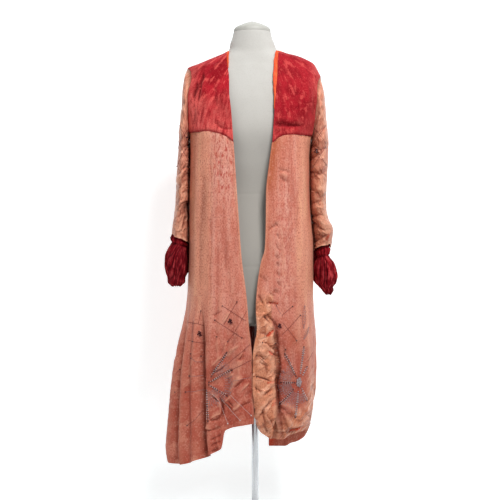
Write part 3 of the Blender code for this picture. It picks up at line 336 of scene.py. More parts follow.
# Creases drawn on the cloth as seen from the front, in millimetres: half width and depth, which is positive
# for a ridge, then the places across and up that each runs through
Crease = namedtuple("Crease", "width depth path")
FRONT_CREASES = {
    RIGHT: drawn(
        (4, -1.2, -131, 1120, -130, 860, -133, 640), (9, -1, -83, 850, -86, 790, -87, 740),
        (10, 0.9, -76, 845, -79, 735), (10, -1.8, -156, 1040, -160, 880, -163, 705),
        (9, 1.5, -172, 1100, -176, 900, -176, 720), (7, -1, -104, 1100, -106, 1010),
        (6, 1, -62, 1010, -70, 900), (9, 1.6, -100, 700, -112, 560, -108, 470),
        (8, -1.4, -60, 640, -66, 520), (6, 1.6, -42, 633, -22, 579), (8, 1.5, -30, 560, -44, 480, -50, 420),
        (5, -1.6, -116, 579, -96, 542), (3.2, 2.9, -71, 519, -56, 534), (3.6, 2.9, -92, 528, -81, 548),
        (3.4, -2.6, -98, 520, -86, 544), (3.2, 2.9, -49, 506, -36, 521), (3.2, -2.6, -44, 500, -30, 514),
        (3.4, 2.9, -116, 473, -92, 485), (3.2, -2.6, -112, 466, -90, 476), (3.2, 2.9, -76, 451, -65, 461),
        (5, 2, -76, 408, -47, 442), (6, -2, -66, 404, -38, 436), (3.4, 2.9, -128, 401, -105, 387),
        (3.2, -3.2, -124, 394, -102, 380), (3.6, 3.5, -92, 375, -70, 394), (3.4, -3.5, -88, 372, -67, 355),
        (4, 3.8, -63, 355, -41, 375), (4.5, -2, -56, 352, -34, 370), (3, -2.6, -41, 370, -13, 379),
        (6, -1.6, -34, 395, -5, 412), (4, -6.7, -101, 394, -96, 375, -94, 338),
        (5, 2.6, -106, 390, -102, 350), (3.6, -3.8, -134, 324, -112, 328, -96, 338),
        (4, 3.5, -128, 330, -98, 346), (3.6, 3.5, -142, 303, -122, 300),
        (4, -3.5, -140, 296, -112, 300, -98, 306), (3.5, -3.8, -128, 268, -100, 284),
        (3.5, -3.5, -131, 251, -99, 266), (3.5, -3.2, -127, 236, -103, 247), (4, 2.6, -116, 292, -104, 240),
        (3.5, -2.8, -120, 625, -98, 640), (3.5, 3, -91, 607, -73, 636), (3, 3.2, -62, 528, -48, 542),
        (3.2, 3.2, -80, 511, -59, 532), (3.2, -3, -48, 499, -30, 528), (3.2, 3, -37, 413, -16, 434),
        (3.2, 3, -66, 427, -37, 449), (3.2, -2.8, -62, 420, -33, 442), (3.2, 3, -124, 485, -98, 511),
        (3.2, -2.8, -127, 460, -106, 485), (3, -3.2, -80, 381, -66, 367),
    ),
    LEFT: drawn(
        (3.5, -5.5, 56, 605, 60, 575, 58, 532, 67, 487, 60, 430, 62, 401, 68, 344, 79, 276),
        (7, 3, 44, 600, 48, 560, 46, 520, 54, 480, 48, 430, 50, 400, 56, 344, 66, 276),
        (4, -2.8, 6, 686, 28, 657), (6, 1.4, 14, 690, 40, 640), (4, -3.4, 36, 666, 67, 658),
        (4.5, -2.6, 38, 698, 53, 683), (5, -2, 11, 745, 29, 722), (3.5, -2.4, 24, 626, 35, 611),
        (3.5, -4, 35, 628, 48, 612, 60, 594), (6, 2.2, 24, 612, 50, 588), (4, -2.4, 32, 567, 52, 590),
        (4, -2.2, 14, 578, 34, 574), (3.5, -3.2, 25, 552, 57, 527), (6, 2.2, 18, 552, 50, 518),
        (3.5, -2.2, 37, 527, 57, 507), (3.5, -2.6, 6, 516, 30, 499), (6, 2, 12, 524, 40, 502),
        (3.5, -2.6, 10, 496, 40, 480), (3.5, -2.2, 28, 484, 35, 462), (5, 2.4, 40, 506, 54, 470),
        (3, -3, 2, 456, 28, 446, 50, 438), (4, -2.4, -4, 426, 12, 409), (4, -2.4, 22, 399, 50, 417),
        (5.5, 2.2, 16, 404, 46, 428), (5, 2.8, 2, 335, 20, 368, 42, 396),
        (4, -2.6, 8, 332, 28, 366, 48, 388), (4, -2.8, 16, 367, 28, 315), (5, 2.4, 24, 372, 40, 316),
        (4, -2.6, 33, 350, 64, 287), (5, -2.2, 12, 330, 38, 290), (6, 1.8, 4, 342, 16, 306),
        (4.5, 3.2, 53, 387, 61, 344, 76, 276), (6, -3.2, 70, 364, 93, 347, 116, 330),
        (7, 2.6, 74, 376, 100, 362, 130, 338), (5, -3.4, 73, 350, 87, 316, 107, 290),
        (7, 3, 84, 346, 102, 312, 128, 300), (4, -3.6, 99, 287, 138, 299),
        (4.5, -2.6, 79, 319, 93, 290, 116, 281), (6, -2, 144, 344, 167, 321), (6, -1.6, 121, 324, 144, 307),
        (8, 1.6, 133, 376, 156, 336), (4, -1.4, 81, 504, 116, 453), (4, -1.2, 70, 464, 110, 450),
        (6, -1.8, 78, 560, 86, 494), (11, 1.5, 122, 662, 118, 545), (9, 1.4, 150, 640, 154, 470),
        (4, -2.6, 68, 1048, 97, 1042), (4, -2.8, 66, 1027, 95, 1013), (4, 2.6, 72, 1036, 92, 1027),
        (4, -2.6, 37, 875, 59, 884), (4, -2.8, 56, 893, 66, 882), (4, -2.8, 60, 862, 70, 848),
        (4, -2.8, 58, 828, 69, 816), (4, -2.8, 54, 802, 66, 790), (4, -2.8, 60, 780, 70, 766),
        (4, -2.8, 58, 755, 70, 742), (4, -2.8, 62, 728, 72, 714), (4, -2.8, 54, 702, 66, 690),
        (8, 2, 74, 900, 78, 780, 76, 680), (9, -1.2, 100, 1110, 96, 940, 100, 760),
        (10, 1.2, 140, 1100, 132, 900, 140, 720), (7, -1.4, 126, 1010, 118, 860),
    ),
}
YOKE_CREASES = {
    RIGHT: drawn(
        (5, -3.2, -157, 1324, -163, 1290, -169, 1253), (7, 2, -150, 1320, -158, 1262),
        (5, -2.8, -171, 1312, -183, 1260), (4.5, -2.6, -154, 1349, -157, 1312),
        (6, 1.6, -132, 1360, -128, 1331), (9, -1.4, -120, 1300, -112, 1230), (9, 1.4, -98, 1262, -86, 1226),
        (9, 1.4, -140, 1240, -150, 1190), (5, -2.2, -112, 1182, -90, 1166, -69, 1164),
        (7, 1.6, -120, 1196, -84, 1180), (8, -1.6, -176, 1230, -184, 1180),
    ),
    LEFT: drawn(
        (5.5, -4.2, 57, 1183, 92, 1176, 131, 1176), (7, 2.6, 58, 1197, 94, 1190, 130, 1188),
        (4, 2, 60, 1168, 84, 1164), (3.5, -1.8, 72, 1172, 70, 1150), (3.5, -1.8, 86, 1170, 86, 1152),
        (3.5, -1.6, 100, 1170, 102, 1154), (9, -1.6, 116, 1268, 150, 1275), (8, -1.4, 116, 1224, 139, 1238),
        (9, 1.4, 96, 1300, 104, 1230), (8, 1.6, 150, 1310, 162, 1250), (6, -2, 168, 1290, 174, 1210),
        (6, -1.6, 130, 1350, 134, 1318),
    ),
}
SLEEVE_CREASES = {
    RIGHT: drawn(
        (7, -2, -224, 1232, -200, 1262), (6, -1.8, -204, 1180, -222, 1140),
        (8, 1.8, -212, 1200, -226, 1160), (5, -2.4, -221, 1107, -196, 1132),
        (6, 1.8, -200, 1090, -226, 1076), (5, -3, -227, 1036, -198, 1063), (7, 2.4, -232, 1018, -206, 1046),
        (5, -3.2, -233, 1004, -215, 1014, -198, 1044), (4, -2.4, -234, 992, -199, 1022),
        (6, -3.4, -234, 948, -221, 978, -198, 992), (7, 2.6, -228, 962, -206, 996),
        (4, -3, -199, 963, -236, 931), (4.5, -3.2, -198, 958, -220, 928, -234, 912),
        (4.5, -3, -199, 952, -216, 916, -230, 890), (5, -2.6, -202, 940, -208, 905, -215, 875),
        (6, 2.2, -203, 925, -238, 905),
    ),
    LEFT: drawn(
        (7, -2, 172, 1290, 204, 1250), (6, -2.2, 170, 1232, 206, 1204), (5, -2.4, 172, 1194, 191, 1216),
        (6, -2, 176, 1160, 214, 1180), (5, -2.4, 168, 1130, 190, 1106, 216, 1120),
        (5, -2.2, 162, 1086, 196, 1100), (5, -3, 162, 1050, 189, 1035, 214, 1052),
        (5, -2.2, 193, 1053, 171, 1027), (5, -3, 164, 1002, 189, 969, 212, 984),
        (6, 2.2, 168, 986, 190, 1000), (5, -2.2, 167, 954, 200, 965), (5, -2.8, 160, 914, 206, 922),
        (6, 2, 168, 936, 208, 944), (5, -3.4, 171, 899, 204, 869), (7, 3, 180, 905, 226, 880),
        (5, -3.2, 174, 840, 214, 858), (5, -2.4, 178, 862, 222, 842),
    ),
}

# Worn-through places that show red, drawn as the creases are, and the left front's deep groove
SLITS = drawn(
    (4, 1, 32, 567, 52, 587), (4, 1, 37, 527, 57, 507), (3, 0.8, 32, 435, 53, 438),
    (3, 0.7, 49, 367, 56, 390), (2.6, 1, 99, 287, 137, 296), (2.6, 0.9, 39, 665, 67, 662),
    (4.2, 0.6, 209, 844, 220, 862),
)
GroovePlace = namedtuple("GroovePlace", "height across")
GROOVE = table(
    GroovePlace,
    (0.69, 0.05), (0.601, 0.053), (0.578, 0.061), (0.532, 0.058), (0.487, 0.068), (0.43, 0.06),
    (0.401, 0.061), (0.344, 0.067), (0.276, 0.078),
)

# Beadwork. A star is a centre with rays by bearing in degrees from the wearer's left, start and end radius;
# its places are in millimetres as seen from the front
Ray = namedtuple("Ray", "bearing start end beads")
Star = namedtuple("Star", "host centre rays")
STARS = (
    Star("coat_front_right", (-140, 432), (
        Ray(57, 24, 104, "jet"), Ray(28, 8, 80, "jet"), Ray(-31, 8, 66, "jet"), Ray(-88, 20, 106, "jet"))),
    Star("coat_front_left", (126, 433), (
        Ray(116, 20, 91, "jet"), Ray(178, 14, 50, "jet"), Ray(-132, 26, 81, "jet"), Ray(-96, 27, 97, "grey"),
        Ray(-67, 21, 57, "grey"), Ray(62, 24, 47, "grey"), Ray(82, 27, 100, "grey"))),
)

# Fans of fine grey couching between the rays: centre, first and last bearing, inner and outer radius, lines
Fan = namedtuple("Fan", "host centre first last start end lines")
FANS = table(
    Fan,
    ("coat_front_left", (126, 433), 124, 172, 26, 60, 9),
    ("coat_front_left", (126, 433), 186, 222, 24, 62, 9),
    ("coat_front_left", (126, 433), 232, 260, 30, 74, 7),
    ("coat_front_left", (126, 433), 268, 288, 34, 62, 5),
    ("coat_front_right", (-140, 432), 32, 52, 40, 84, 5),
    ("coat_front_right", (-140, 432), -26, 22, 52, 76, 8),
    ("coat_front_right", (-140, 432), -82, -38, 24, 72, 8),
)

# Plumes of small grey loops: foot, tip and half width
Plume = namedtuple("Plume", "host foot tip width")
PLUMES = table(
    Plume,
    ("coat_front_left", (140, 587), (143, 655), 6), ("coat_front_left", (140, 556), (156, 592), 5),
)

# Couched lines on each cloth: the thread, the ends that carry a bead, then the places across and up that it
# runs through
Couching = namedtuple("Couching", "thread beads path")
COUCHING = {
    "coat_front_right": couched(
        ("maroon", (), -125, 456, -81, 488, -12, 547), ("maroon", (), -112, 456, -60, 476, -12, 500),
        ("grey", (), -69, 439, -40, 446, -12, 450), ("silver", (-1,), -72, 400, -12, 341),
        ("silver", (-1,), -97, 385, -44, 328), ("silver", (-1,), -125, 403, -106, 385, -79, 317),
        ("maroon", (0,), -79, 553, -62, 575), ("maroon", (0, -1), -117, 614, -39, 564),
        ("maroon", (0,), -95, 655, -28, 613), ("maroon", (0,), -53, 667, -90, 603),
        ("maroon", (), -25, 641, -59, 581), ("maroon", (0,), -111, 566, -111, 568),
    ),
    "side_flare_right": couched(
        ("maroon", (0,), -158, 639, -165, 603), ("maroon", (), -198, 605, -168, 602, -146, 595),
        ("maroon", (1,), -197, 553, -181, 550, -150, 545), ("grey", (0,), -186, 502, -172, 492, -150, 491),
        ("grey", (0,), -192, 450, -150, 452), ("grey", (0,), -203, 403, -150, 411),
        ("maroon", (0,), -198, 307, -175, 325, -152, 352), ("maroon", (0,), -222, 464, -234, 451),
        ("maroon", (), -181, 610, -181, 550), ("maroon", (0,), -236, 398, -236, 400),
        ("maroon", (0,), -158, 508, -158, 510), ("maroon", (0,), -187, 514, -187, 516),
    ),
    "coat_front_left": couched(
        ("grey", (0,), 60, 655, 73, 632), ("maroon", (0,), 107, 653, 76, 627),
        ("maroon", (0,), 130, 627, 104, 598, 77, 572), ("maroon", (-1,), 79, 607, 119, 554),
        ("maroon", (0,), 27, 622, 42, 607), ("maroon", (0,), 4, 515, 33, 490),
        ("maroon", (0,), 5, 454, 42, 440), ("maroon", (), 153, 492, 168, 515),
        ("maroon", (0,), 87, 529, 87, 531), ("maroon", (0,), 57, 546, 57, 548),
        ("maroon", (0,), 20, 551, 20, 553),
    ),
    "sleeve_right": couched(
        ("maroon", (), -229, 1196, -198, 1132), ("maroon", (-1,), -231, 1146, -200, 1084),
        ("maroon", (), -197, 1178, -229, 1118), ("maroon", (-1,), -199, 1126, -231, 1064),
    ),
    "sleeve_left": couched(
        ("maroon", (), 168, 1186, 208, 1128), ("maroon", (), 208, 1184, 170, 1126),
        ("maroon", (-1,), 168, 1132, 208, 1066), ("maroon", (-1,), 208, 1122, 170, 1060),
    ),
}

# Clusters of beads: a ring of larger beads round one, with its half sizes
Cluster = namedtuple("Cluster", "host centre half_width half_height count beads")
CLUSTERS = table(
    Cluster,
    ("coat_front_right", (-72, 610), 6.5, 7, 7, "garnet"),
    ("side_flare_right", (-162, 572), 6.5, 7.5, 7, "garnet"),
    ("coat_front_left", (126, 433), 7.5, 13.5, 26, "grey"),
    ("coat_front_left", (70, 597), 5, 7, 7, "garnet"),
    ("sleeve_right", (-199, 1149), 6, 7, 7, "garnet"), ("sleeve_left", (181, 1107), 6, 7, 7, "garnet"),
)
RAY_BEAD = 0.0020
RAY_SPACING = 0.0072
RAY_ROWS = 2.4
PALE_BEAD = 0.0012
PALE_SPACING = 0.0060
SEED_BEAD = 0.0008
END_BEAD = 0.0019
CLUSTER_BEAD = 0.0024
THREAD_RADIUS = 0.0005
BEAD_SEAT = 0.7
PATH_STEP = 3.0

# The columns of a sheet: the flat width and length a piece was cut to, its flat area, how it is held and what
# it rests on; and the pieces that carry embroidery
Sheet = namedtuple("Sheet", "width length area held rests_on")
EMBROIDERED = ("coat_front_right", "coat_front_left", "side_flare_right", "sleeve_right", "sleeve_left")

# Pieces: the solid each stands for, the ending of its name, what makes it and from what, and its slot
Piece = namedtuple("Piece", "node ending maker arguments slot")

# Lengths of cloth for each radian, radii where seams are set apart, and heights that share out the rows
BODY_REACH = 0.165
EDGE_REACH = 0.14
FLARE_REACH = 0.30
SLEEVE_REACH = 0.048
CUFF_REACH = 0.046
SEAM_TURN = SEAM_GAP / 2 / 0.18
SHOULDER_TURN = SEAM_GAP / 2 / 0.12
BACK_LEVELS = (1.15, FLARE_TOP, 0.23)
FLARE_FOOT = 0.21
YOKE_FOOT = 1.126
NORMAL_STEP = 2e-4
SHARP_ANGLE = math.radians(60)

# Unevenness of the cloth: its height, its size across and down, and the seed of its noise
Uneven = namedtuple("Uneven", "height across down seed")
CREASE_WANDER = table(Uneven, (3.0, 17, 17, 11), (3.0, 17, 17, 12))
HANG = Uneven(0.0014, 0.026, 0.24, 21)
FINE_HANG = Uneven(0.0006, 0.009, 0.05, 25)
CRUSHED_SATIN = Uneven(0.0008, 0.020, 0.024, 31)
WRINKLES = Uneven(0.0010, 0.034, 0.046, 33)
FINE_WRINKLES = Uneven(0.0010, 0.014, 0.018, 34)
YOKE_GATHERS = Uneven(0.0011, 0.0045, 0.03, 35)
HEM_PUCKERS = Uneven(0.0011, 0.006, 0.02, 36)
SATIN_BORDER = Uneven(0.006, 0.02, 0.02, 41)
WEAR_DRIFT = Uneven(0.010, 0.04, 0.09, 51)
BACK_WEAR = Uneven(0.35, 0.3, 0.2, 52)
SLIT_EDGE = Uneven(0.5, 0.004, 0.004, 55)
VELVET_CRUSH = Uneven(0.0007, 0.016, 0.022, 61)
VELVET_SWELL = Uneven(0.0010, 0.045, 0.07, 64)
YOKE_WAVES = Uneven(0.0009, 0.007, 0.05, 67)
VELVET_RUB = Uneven(0.6, 0.035, 0.05, 71)
BINDING_PULL = Uneven(0.08, 0.012, 1.0, 75)
BINDING_CROWN = Uneven(0.5, 0.006, 0.5, 76)
BAND_RIPPLE = Uneven(0.0012, 0.008, 0.5, 81)
SLEEVE_CRUSH = Uneven(0.0013, 0.9, 0.034, 91)
SLEEVE_PATCH = Uneven(0.5, 0.05, 0.09, 97)
CRUMPLE_SLOPE = 1.6
CRUMPLE_MIDDLE = 0.55
SATIN_MIDDLE = 0.5

# Lines pressed or stitched into the cloth: height, distance from an edge or a level, and spread
Pressed = namedtuple("Pressed", "height middle spread")
EDGE_PIPING = table(Pressed, (0.0012, 0.002, 0.003), (-0.0006, 0.008, 0.0025))
HEM_STITCHES = Pressed(-0.0007, 0.018, 0.0025)
YOKE_SEAM = Pressed(-0.0009, 0.0, 0.003)
YOKE_STITCHES = Pressed(-0.0010, 0.0045, 0.0018)
SLEEVE_END_ROLL = Pressed(0.0016, 0.0, 0.004)
FORM_LINES = table(
    Pressed,
    (0.0015, 0.603, 0.005), (-0.0010, 0.614, 0.004), (-0.0006, 0.767, 0.004), (-0.0006, 0.980, 0.004),
)

# Where wear, painted shade and relief come up across, in depth or in height: the start, and the length to
# full strength, which is below zero where they come up the other way
Rise = namedtuple("Rise", "start length")
FRONT_RELIEF = Rise(0.0, -0.03)
FRONT_WEAR = Rise(0.0, -0.04)
LOW_WRINKLES = Rise(0.72, -0.25)
SATIN_SIDE = Rise(0.0, -0.006)
SATIN_TOP = Rise(0.705, -0.05)
TAN_ACROSS = {RIGHT: Rise(-0.118, -0.024), LEFT: Rise(0.112, 0.026)}
TAN_UP = Rise(0.60, 0.12)
STREAK_UP = {RIGHT: Rise(0.90, 0.14), LEFT: Rise(0.60, 0.12)}
STREAK_TOP = Rise(1.06, -0.10)
STAIN_UPPER = Rise(0.96, 0.06)
STAIN_FOOT = Rise(0.66, 0.08)
BROWN_DOWN = Rise(0.70, -0.30)
TURNED_UP = Rise(0.095, -0.05)
TURNED_ACROSS = Rise(0.060, 0.03)
SIDE_SATIN = Rise(0.140, 0.02)
SIDE_SATIN_TOP = Rise(0.50, -0.12)
SIDE_SATIN_DEPTH = Rise(0.03, -0.04)
# Crinkle, with its bump and painted facet light, rises lower down; the groove's painted shade fades out above
# its top
CRINKLE_DOWN = Rise(0.66, -0.2)
GROOVE_TOP = Rise(0.615, -0.06)
YOKE_LIFT_FOOT = Rise(0.0, 0.004)
YOKE_LIFT_TOP = Rise(0.030, -0.025)
YOKE_SEATED = Rise(1.352, -0.03)
YOKE_RUB = {RIGHT: Rise(1.30, -0.09), LEFT: Rise(1.22, -0.06)}
BAND_RED = Rise(0.062, -0.016)
HUG_DEPTH = Rise(-0.002, 0.016)
HUG_ACROSS = Rise(0.0, -0.010)
HUG_TOP = Rise(1.165, -0.03)
SLANT_ALONG = Rise(0.12, -0.12)
RAGGED_ALONG = Rise(0.05, -0.05)
SLEEVE_SEAM = Rise(0.0, 0.02)
SLEEVE_EASE = Rise(0.0, 0.012)
SLEEVE_UPPER = Rise(0.99, 0.12)
FRILL_FOOT = Rise(0.0, 0.006)
CUFF_TUCK = Rise(-0.007, 0.006)
CUFF_LIP = Rise(0.010, -0.010)
CUFF_SLANT = Rise(-0.05, 0.05)
CUFF_HUG = Rise(0.020, 0.030)
FORM_COVERED = Rise(1.412, -0.01)
NECK_LEANS = Rise(1.395, 0.05)

# Spots and lines of wear, and of painted shade and highlight: the middle and the spread
Spot = namedtuple("Spot", "middle spread")
GATHERED_BELOW_YOKE = Spot(0.0, 0.018)
PUCKERED_HEM = Spot(0.0, 0.022)
TAN_EDGE = Spot(0.0, 0.007)
STREAK_SPOT = {RIGHT: Spot(-0.092, 0.036), LEFT: Spot(0.082, 0.024)}
AMBER_EDGE = Spot(0.0, 0.028)
AMBER_ACROSS = Spot(0.112, 0.018)
AMBER_UP = Spot(0.555, 0.04)
# Painted shade along the left front's deep groove: how it falls off from the groove, and where it is deepest
GROOVE_LINE = Spot(1.0, 5.0)
GROOVE_DEEPEST = Spot(0.44, 0.07)
YOKE_WAVED = Spot(0.0, 0.020)
SHOULDER_RUB = Spot(0.185, 0.022)
YOKE_SHADE = Spot(0.003, 0.0022)
DEEP_ACROSS = Spot(-0.085, 0.030)
DEEP_UP = Spot(1.215, 0.045)
SLEEVE_PINCH = Spot(0.0, 0.022)
# Narrow bands at a sleeve's two ends: painted shade along its armhole seam, and a painted highlight on its
# rolled end
SLEEVE_END_SHADE_AND_HIGHLIGHT = Spot(0.0, 0.005)
CUFF_TIE = Spot(0.0, 0.0026)
NECK_FULL = Spot(1.430, 0.022)

# How relief turns into painted shade in troughs and a painted highlight on ridges: the height where it
# starts, the height that makes it full, and its strongest
Shade = namedtuple("Shade", "start length full")
TROUGH = Shade(0.0005, 0.0030, 1.0)
RIDGE = Shade(0.0004, 0.0034, 1.0)
FOLD_TROUGH = Shade(0.003, 0.013, 0.75)
FOLD_RIDGE = Shade(0.004, 0.030, 0.3)
YOKE_TROUGH = Shade(0.0004, 0.003, 1.0)

# Finishes. A pattern has its size across and along in millimetres and its levels of detail
Pattern = namedtuple("Pattern", "across down detail")

# A layer of colour: the pattern that carries it, between which values it comes up, how strong it is, and the
# zone of the cloth it keeps to
Layer = namedtuple("Layer", "colour pattern low high strength zone", defaults=(None,))

# A bump of a finish: the pattern that gives its height, its strength and its size in metres
Relief = namedtuple("Relief", "pattern strength distance")

# Beads and threads
Tinted = namedtuple("Tinted", "name ground tint")
BEADS = {
    "jet": Tinted("black glass beads", "#3A2628", "#5A4246"),
    "garnet": Tinted("garnet glass beads", "#3A1014", "#5A161C"),
    "grey": Tinted("smoke grey glass beads", "#8E7A7C", "#B8A4A4"),
    "pale": Tinted("pale lilac glass beads", "#C9BBBC", "#E0D6D2"),
}
THREADS = {
    "maroon": Tinted("maroon couching thread", "#7E2A2C", "#5E1A20"),
    "grey": Tinted("lilac grey couching thread", "#A8807E", "#8C6464"),
    "silver": Tinted("silver pink couching thread", "#DDBEB8", "#BC908A"),
}
BeadString = namedtuple("BeadString", "spacing radius beads")
STRINGS = {
    "string_jet": BeadString(RAY_SPACING, RAY_BEAD, "jet"),
    "string_grey": BeadString(RAY_SPACING, RAY_BEAD, "grey"),
    "string_pale": BeadString(PALE_SPACING, PALE_BEAD, "pale"),
}
SingleBead = namedtuple("SingleBead", "radius beads")
SINGLES = {
    "jet": SingleBead(END_BEAD, "jet"),
    "pale": SingleBead(END_BEAD, "pale"),
    "grey": SingleBead(PALE_BEAD, "grey"),
    "seed": SingleBead(SEED_BEAD, "grey"),
    "cluster_grey": SingleBead(CLUSTER_BEAD, "grey"),
    "cluster_garnet": SingleBead(CLUSTER_BEAD, "garnet"),
}
FINE_THREAD = "fine_grey"

# Studio: the camera, its half width of view at the coat, the lamps, the white surroundings and the papers
CAMERA_PLACE = (-0.0155, -3.2, 0.816)
VIEW_HALF_WIDTH = 0.75
SURROUNDINGS = 0.22
Lamp = namedtuple("Lamp", "name place target size power")
LAMPS = table(
    Lamp,
    ("key", (0.60, -1.70, 2.95), (0.0, 0.0, 0.95), 0.6, 72.0),
    ("fill", (-2.2, -1.6, 1.2), (0.0, 0.0, 0.8), 1.8, 5.0),
)
WALL_DEPTH = 0.34
WALL_LEVELS = (1.0, 3.2)
COVE_RADIUS = 0.12
FLOOR_FRONT = -2.6
Paper = namedtuple("Paper", "half_width glow tone")
FLOOR_PAPER = Paper(2.2, 0.0, "#FAFAFA")
WALL_PAPER = Paper(3.0, 0.67, "#C6CFD0")


def through(knots, values, at):
    """A smooth curve through the rows of a table, which never passes beyond them."""
    knots, values = np.asarray(knots, float), np.asarray(values, float)
    at = np.clip(np.asarray(at, float), knots[0], knots[-1])
    step = np.diff(knots)
    slope = np.diff(values) / step
    tangent = np.zeros_like(values)
    tangent[0], tangent[-1] = slope[0], slope[-1]
    product = slope[:-1] * slope[1:]
    total = np.where(product > 0, slope[:-1] + slope[1:], 1.0)
    tangent[1:-1] = np.where(product > 0, 2 * product / total, 0.0)
    span = np.clip(np.searchsorted(knots, at, side="right") - 1, 0, len(step) - 1)
    share = (at - knots[span]) / step[span]
    left_over = 1 - share
    return ((1 + 2 * share) * left_over**2 * values[span] + share * left_over**2 * step[span] * tangent[span]
            + share**2 * (3 - 2 * share) * values[span + 1]
            - share**2 * left_over * step[span] * tangent[span + 1])


def column(rows, field):
    return [getattr(row, field) for row in rows]


def along(rows, field, height):
    return through(column(rows, "height"), column(rows, field), height)


def by_angle(rows, field, angle):
    return through(column(rows, "angle"), column(rows, field), np.degrees(angle))


def by_side(side, right, left):
    return np.where(side < 0, right, left)


def between(start, end, share):
    return start + (end - start) * share


def smooth(share):
    share = np.clip(share, 0.0, 1.0)
    return share * share * (3 - 2 * share)


def rise(value, row):
    return smooth((value - row.start) / row.length)


def bell(distance, spread):
    return np.exp(-(distance / spread) ** 2)


def spot(value, row):
    return bell(value - row.middle, row.spread)


def pressed(value, *rows):
    return sum(row.height * spot(value, row) for row in rows)


def shade(value, row):
    return np.clip((value - row.start) / row.length, 0.0, row.full)


def wrapped(angle):
    return (angle + math.pi) % (2 * math.pi) - math.pi


def turns(count):
    return 2 * math.pi * np.arange(count) / count


def unit(vectors):
    return vectors / np.linalg.norm(vectors, axis=-1, keepdims=True)


def soft_noise(across, down, seed):
    """Smooth noise from -1 to 1 over two coordinates, the same on each run."""
    grid = np.random.default_rng(seed).uniform(-1.0, 1.0, (NOISE_GRID, NOISE_GRID))
    across, down = np.broadcast_arrays(np.asarray(across, float), np.asarray(down, float))
    left, top = np.floor(across).astype(int), np.floor(down).astype(int)
    right_share, down_share = smooth(across - left), smooth(down - top)
    rows = []
    for row in (top, top + 1):
        first = grid[left % NOISE_GRID, row % NOISE_GRID]
        second = grid[(left + 1) % NOISE_GRID, row % NOISE_GRID]
        rows.append(first * (1 - right_share) + second * right_share)
    return rows[0] * (1 - down_share) + rows[1] * down_share


def rumple(across, down, seed):
    """Three sizes of soft noise, each half as large and half as strong as the one before."""
    sizes = (1, 2, 4)
    total = sum(soft_noise(across * size, down * size, seed + step) / size for step, size in enumerate(sizes))
    return total / sum(1 / size for size in sizes)


def uneven(kind, row, across, down):
    """Unevenness of one kind of noise, as a row of sizes gives it."""
    return row.height * kind(across / row.across, down / row.down, row.seed)


def crushed(row, across, down, middle=CRUMPLE_MIDDLE):
    """Sharp-edged unevenness about a middle level, as in satin that was crushed."""
    crumple = 1 - np.abs(rumple(across / row.across, down / row.down, row.seed)) * CRUMPLE_SLOPE
    return row.height * (crumple - middle)


def path_distance(x, z, path):
    """Distance from a path in millimetres, below zero on its right, and how far along it the point lies."""
    lengths = [math.dist(start, end) for start, end in zip(path, path[1:])]
    best = np.full(np.shape(x), 1e9)
    place, hand = np.zeros(np.shape(x)), np.ones(np.shape(x))
    done = 0.0
    for (start, end), length in zip(zip(path, path[1:]), lengths):
        run = np.array(end, float) - start
        share = np.clip(((x - start[0]) * run[0] + (z - start[1]) * run[1]) / length**2, 0.0, 1.0)
        away = np.hypot(x - start[0] - run[0] * share, z - start[1] - run[1] * share)
        turn = run[0] * (z - start[1]) - run[1] * (x - start[0])
        place = np.where(away < best, (done + share * length) / sum(lengths), place)
        hand = np.where(away < best, np.where(turn < 0, -1.0, 1.0), hand)
        best = np.minimum(best, away)
        done += length
    return best * hand, place


def crease_height(points, creases, depth):
    """Height of drawn creases, as troughs and ridges that wander a little and fade at their ends."""
    x, z = points[..., 0] / MM, points[..., 2] / MM
    bent_x, bent_z = (value + uneven(soft_noise, row, x, z) for value, row in zip((x, z), CREASE_WANDER))
    total = np.zeros(x.shape)
    for crease in creases:
        away, place = path_distance(bent_x, bent_z, crease.path)
        fade = np.clip(4 * place * (1 - place), 0.02, 1.0) ** 0.3
        spread = crease.width * np.where(away < 0, CREASE_STEEP, CREASE_GENTLE)
        total += depth * crease.depth * MM * fade * np.exp(-(np.abs(away) / spread) ** CREASE_SHARPNESS)
    return total


def front_creases(points, creases, side, depth):
    """Height of the creases drawn on each side of the coat, on its front only."""
    right, left = (crease_height(points, creases[hand], depth) for hand in (RIGHT, LEFT))
    return by_side(side, right, left) * rise(points[..., 1], FRONT_RELIEF)


def slit_zone(points):
    """Where the pile is worn through, in slits with ragged sides."""
    x, z = points[..., 0], points[..., 2]
    ragged = 0.75 + uneven(soft_noise, SLIT_EDGE, x, z)
    worn = np.zeros(x.shape)
    for slit in SLITS:
        away, place = path_distance(x / MM, z / MM, slit.path)
        open_here = smooth(1.6 - np.abs(away) / (slit.width * ragged)) * smooth(16 * place * (1 - place))
        worn = np.maximum(worn, slit.depth * open_here)
    return worn


def hem_value(right, left, field, angle, side):
    """A value by angle from the tables of the two sides, which meet at the middle of the back."""
    turned_to = wrapped(angle)
    return by_side(side, by_angle(right, field, np.where(turned_to > 1.0, -math.pi, turned_to)),
                   by_angle(left, field, np.where(turned_to < -1.0, math.pi, turned_to)))


def hem_height(angle, side):
    return hem_value(RIGHT_HEM, LEFT_HEM, "height", angle, side)


def hem_roll(angle, height, side):
    """How far the cloth rolls in towards the legs just above its hem."""
    depth = hem_value(RIGHT_ROLL, LEFT_ROLL, "depth", angle, side)
    rest = np.clip((height - hem_height(angle, side)) / ROLL_REACH, 0.0, 1.0)
    return depth * (1 - rest) ** 2


def fold_height(angle, height, side):
    total = np.zeros_like(angle)
    for fold in FOLDS:
        way = np.clip((fold.top - height) / (fold.top - FOLD_FOOT), 0.0, 1.0)
        centre = np.radians(between(fold.top_angle, fold.foot_angle, way))
        across = wrapped(angle - centre) / math.radians(fold.spread)
        growth = smooth((fold.top - height) / (fold.top - fold.full))
        total = total + np.where(side * fold.side > 0, fold.depth * growth * np.exp(-across**2), 0.0)
    return total


